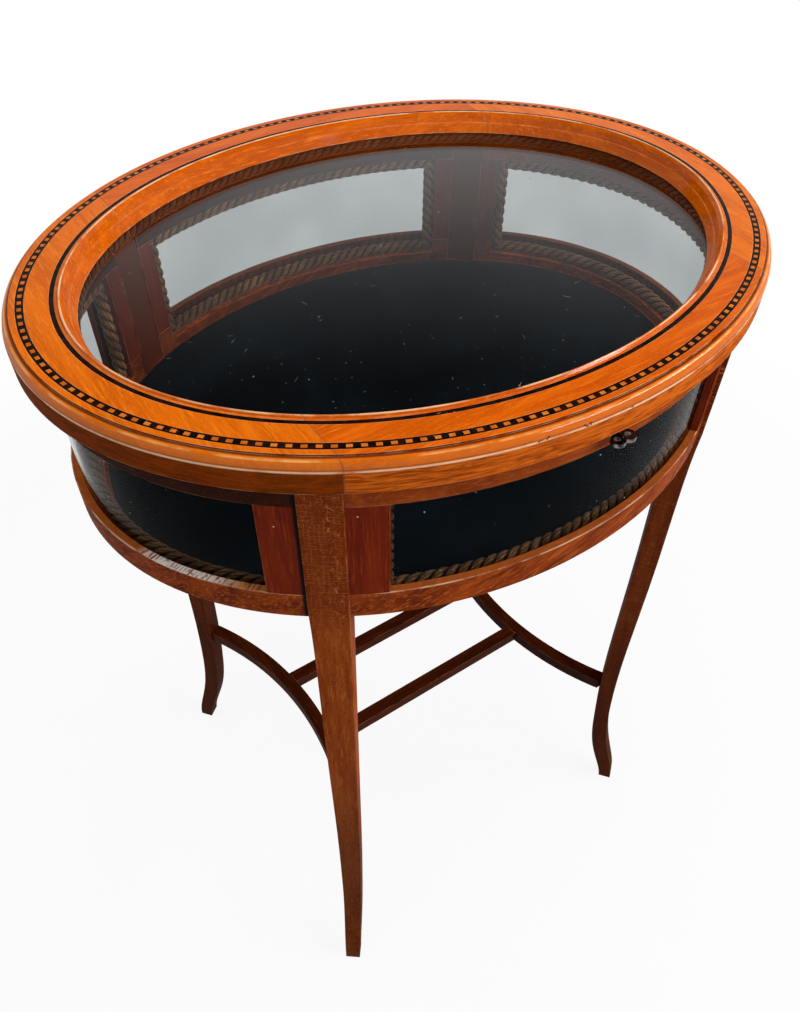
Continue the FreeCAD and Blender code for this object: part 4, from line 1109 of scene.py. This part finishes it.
def pane_marks(chance):
    """Dust specks on the outer faces of the side panes, most of them low down."""
    marks = Marks()
    upright = Vector((0.0, 0.0, 1.0))
    for side in SIDES:
        for _ in range(PANE_SPECKS):
            turn = math.radians(SIDE_MIDDLE[side]) + cord_spread(side) * chance.uniform(-0.97, 0.97)
            height = SILL + (PANE_TOP - SILL) * (0.03 + 0.9 * chance.random() ** 1.6)
            spot = oval_point(CASE_HALF_AXES, PANE_INSET - MARK_LIFT, turn, height)
            along = (oval_point(CASE_HALF_AXES, PANE_INSET, turn + 0.01, height) - spot).normalized()
            size = speck_size(chance, *PANE_SPECK_SIZE)
            marks.add(spot, along, upright, size, size)
    return marks


def add_glass_marks():
    chance = random.Random(MARK_SEED)
    dust = glass_dust("glass_dust")
    for name, marks, body in (
        ("lid_glass_marks", lid_marks(chance), "lid"), ("pane_marks", pane_marks(chance), "case"),
    ):
        add_piece(name, marks.points, marks.faces, dust, body)


# Floor: its half width in metres, its tones, the distances between which the shadow fades out,
# and the share of plain white near the feet
FLOOR_HALF = 7.0
FLOOR_TONES = ((0.86, 0.86, 0.86, 1.0), (0.90, 0.90, 0.90, 1.0))
FLOOR_CLEAR = (0.75, 1.30)
FLOOR_GLOW = 0.9


def add_floor():
    """White floor that keeps a soft shadow of the table near its feet."""
    graph = new_graph("studio_floor")
    place = graph.place()
    body = graph.paint(FLOOR_TONES[0], graph.noise(place, 3.0), FLOOR_TONES[1])
    matt = graph.add("ShaderNodeBsdfDiffuse", {"Color": body})
    glow = graph.add("ShaderNodeEmission", {"Color": WHITE, "Strength": 1.0})
    distance = graph.vector("LENGTH", place)["Value"]
    share = graph.times(graph.seen(), graph.span(distance, *FLOOR_CLEAR, FLOOR_GLOW, 1.0))
    inputs = {0: share, 1: matt.outputs[0], 2: glow.outputs[0]}
    mesh = bpy.data.meshes.new("studio_floor")
    corners = [(x * FLOOR_HALF, y * FLOOR_HALF, 0) for x, y in ((-1, -1), (1, -1), (1, 1), (-1, 1))]
    mesh.from_pydata(corners, [], [(0, 1, 2, 3)])
    mesh.materials.append(graph.show(graph.add("ShaderNodeMixShader", inputs)))
    add_object("studio_floor", mesh)


# World: strength of the light it gives, and the heights over which its white falls off where it is seen
WORLD_AMBIENT = 0.26
SKY_FALL = (0.34, 0.62)
SKY_STRENGTH = (1.0, 0.05)


def add_world():
    """White near the horizon where it is seen or mirrored, dim overhead, and even soft light."""
    world = bpy.data.worlds.new("studio")
    bpy.context.scene.world = world
    graph = Graph(world)
    direction = graph.add("ShaderNodeTexCoord").outputs["Generated"]
    fall = graph.span(graph.axes(direction)[2], *SKY_FALL, *SKY_STRENGTH)
    strength = graph.add("ShaderNodeMix", {0: graph.seen(), 2: WORLD_AMBIENT, 3: fall}).outputs[0]
    sky = graph.add("ShaderNodeBackground", {"Color": WHITE, "Strength": strength})
    graph.show(sky, "ShaderNodeOutputWorld")


# Soft boxes: name, place and aim in metres, width and height, power in watts
LAMPS = (
    ("key_box", (1.25, -1.45, 1.60), (0.0, 0.0, 0.6), 1.8, 0.25, 36.0),
    ("top_box", (-0.15, 0.10, 2.30), (0.0, 0.0, 0.7), 1.3, 1.3, 16.0),
    ("fill_box", (-1.7, -0.9, 1.1), (0.0, 0.0, 0.5), 1.2, 1.2, 1.5),
)
MIRRORED_LAMP = "key_box"


def add_lamps():
    for name, place, aim, width, height, power in LAMPS:
        light = bpy.data.lights.new(name, "AREA")
        light.shape = "RECTANGLE"
        light.size = width
        light.size_y = height
        light.energy = power
        lamp = add_object(name, light)
        lamp.location = place
        lamp.visible_glossy = name == MIRRORED_LAMP
        lamp.rotation_euler = (Vector(aim) - Vector(place)).to_track_quat("-Z", "Y").to_euler()


def add_camera():
    back = Vector((
        math.sin(CAMERA_AZIMUTH) * math.cos(CAMERA_ELEVATION),
        -math.cos(CAMERA_AZIMUTH) * math.cos(CAMERA_ELEVATION),
        math.sin(CAMERA_ELEVATION),
    ))
    level = (-back).cross(Vector((0.0, 0.0, 1.0))).normalized()
    upright = back.cross(level)
    right = level * math.cos(CAMERA_ROLL) + upright * math.sin(CAMERA_ROLL)
    up = upright * math.cos(CAMERA_ROLL) - level * math.sin(CAMERA_ROLL)
    lens = bpy.data.cameras.new("camera")
    lens.lens = CAMERA_LENS
    lens.shift_x, lens.shift_y = CAMERA_SHIFT
    lens.clip_start = CAMERA_NEAR
    camera = add_object("camera", lens)
    camera.matrix_world = Matrix.Translation(CAMERA_PLACE) @ Matrix((right, up, back)).transposed().to_4x4()
    bpy.context.scene.camera = camera


dress_lid()
dress_rails()
dress_stiles()
dress_stand()
dress_panes()
dress_metal()
add_ropes()
add_velvet()
add_glass_marks()
add_floor()
add_world()
add_lamps()
add_camera()
bpy.context.scene.view_settings.view_transform = "Standard"
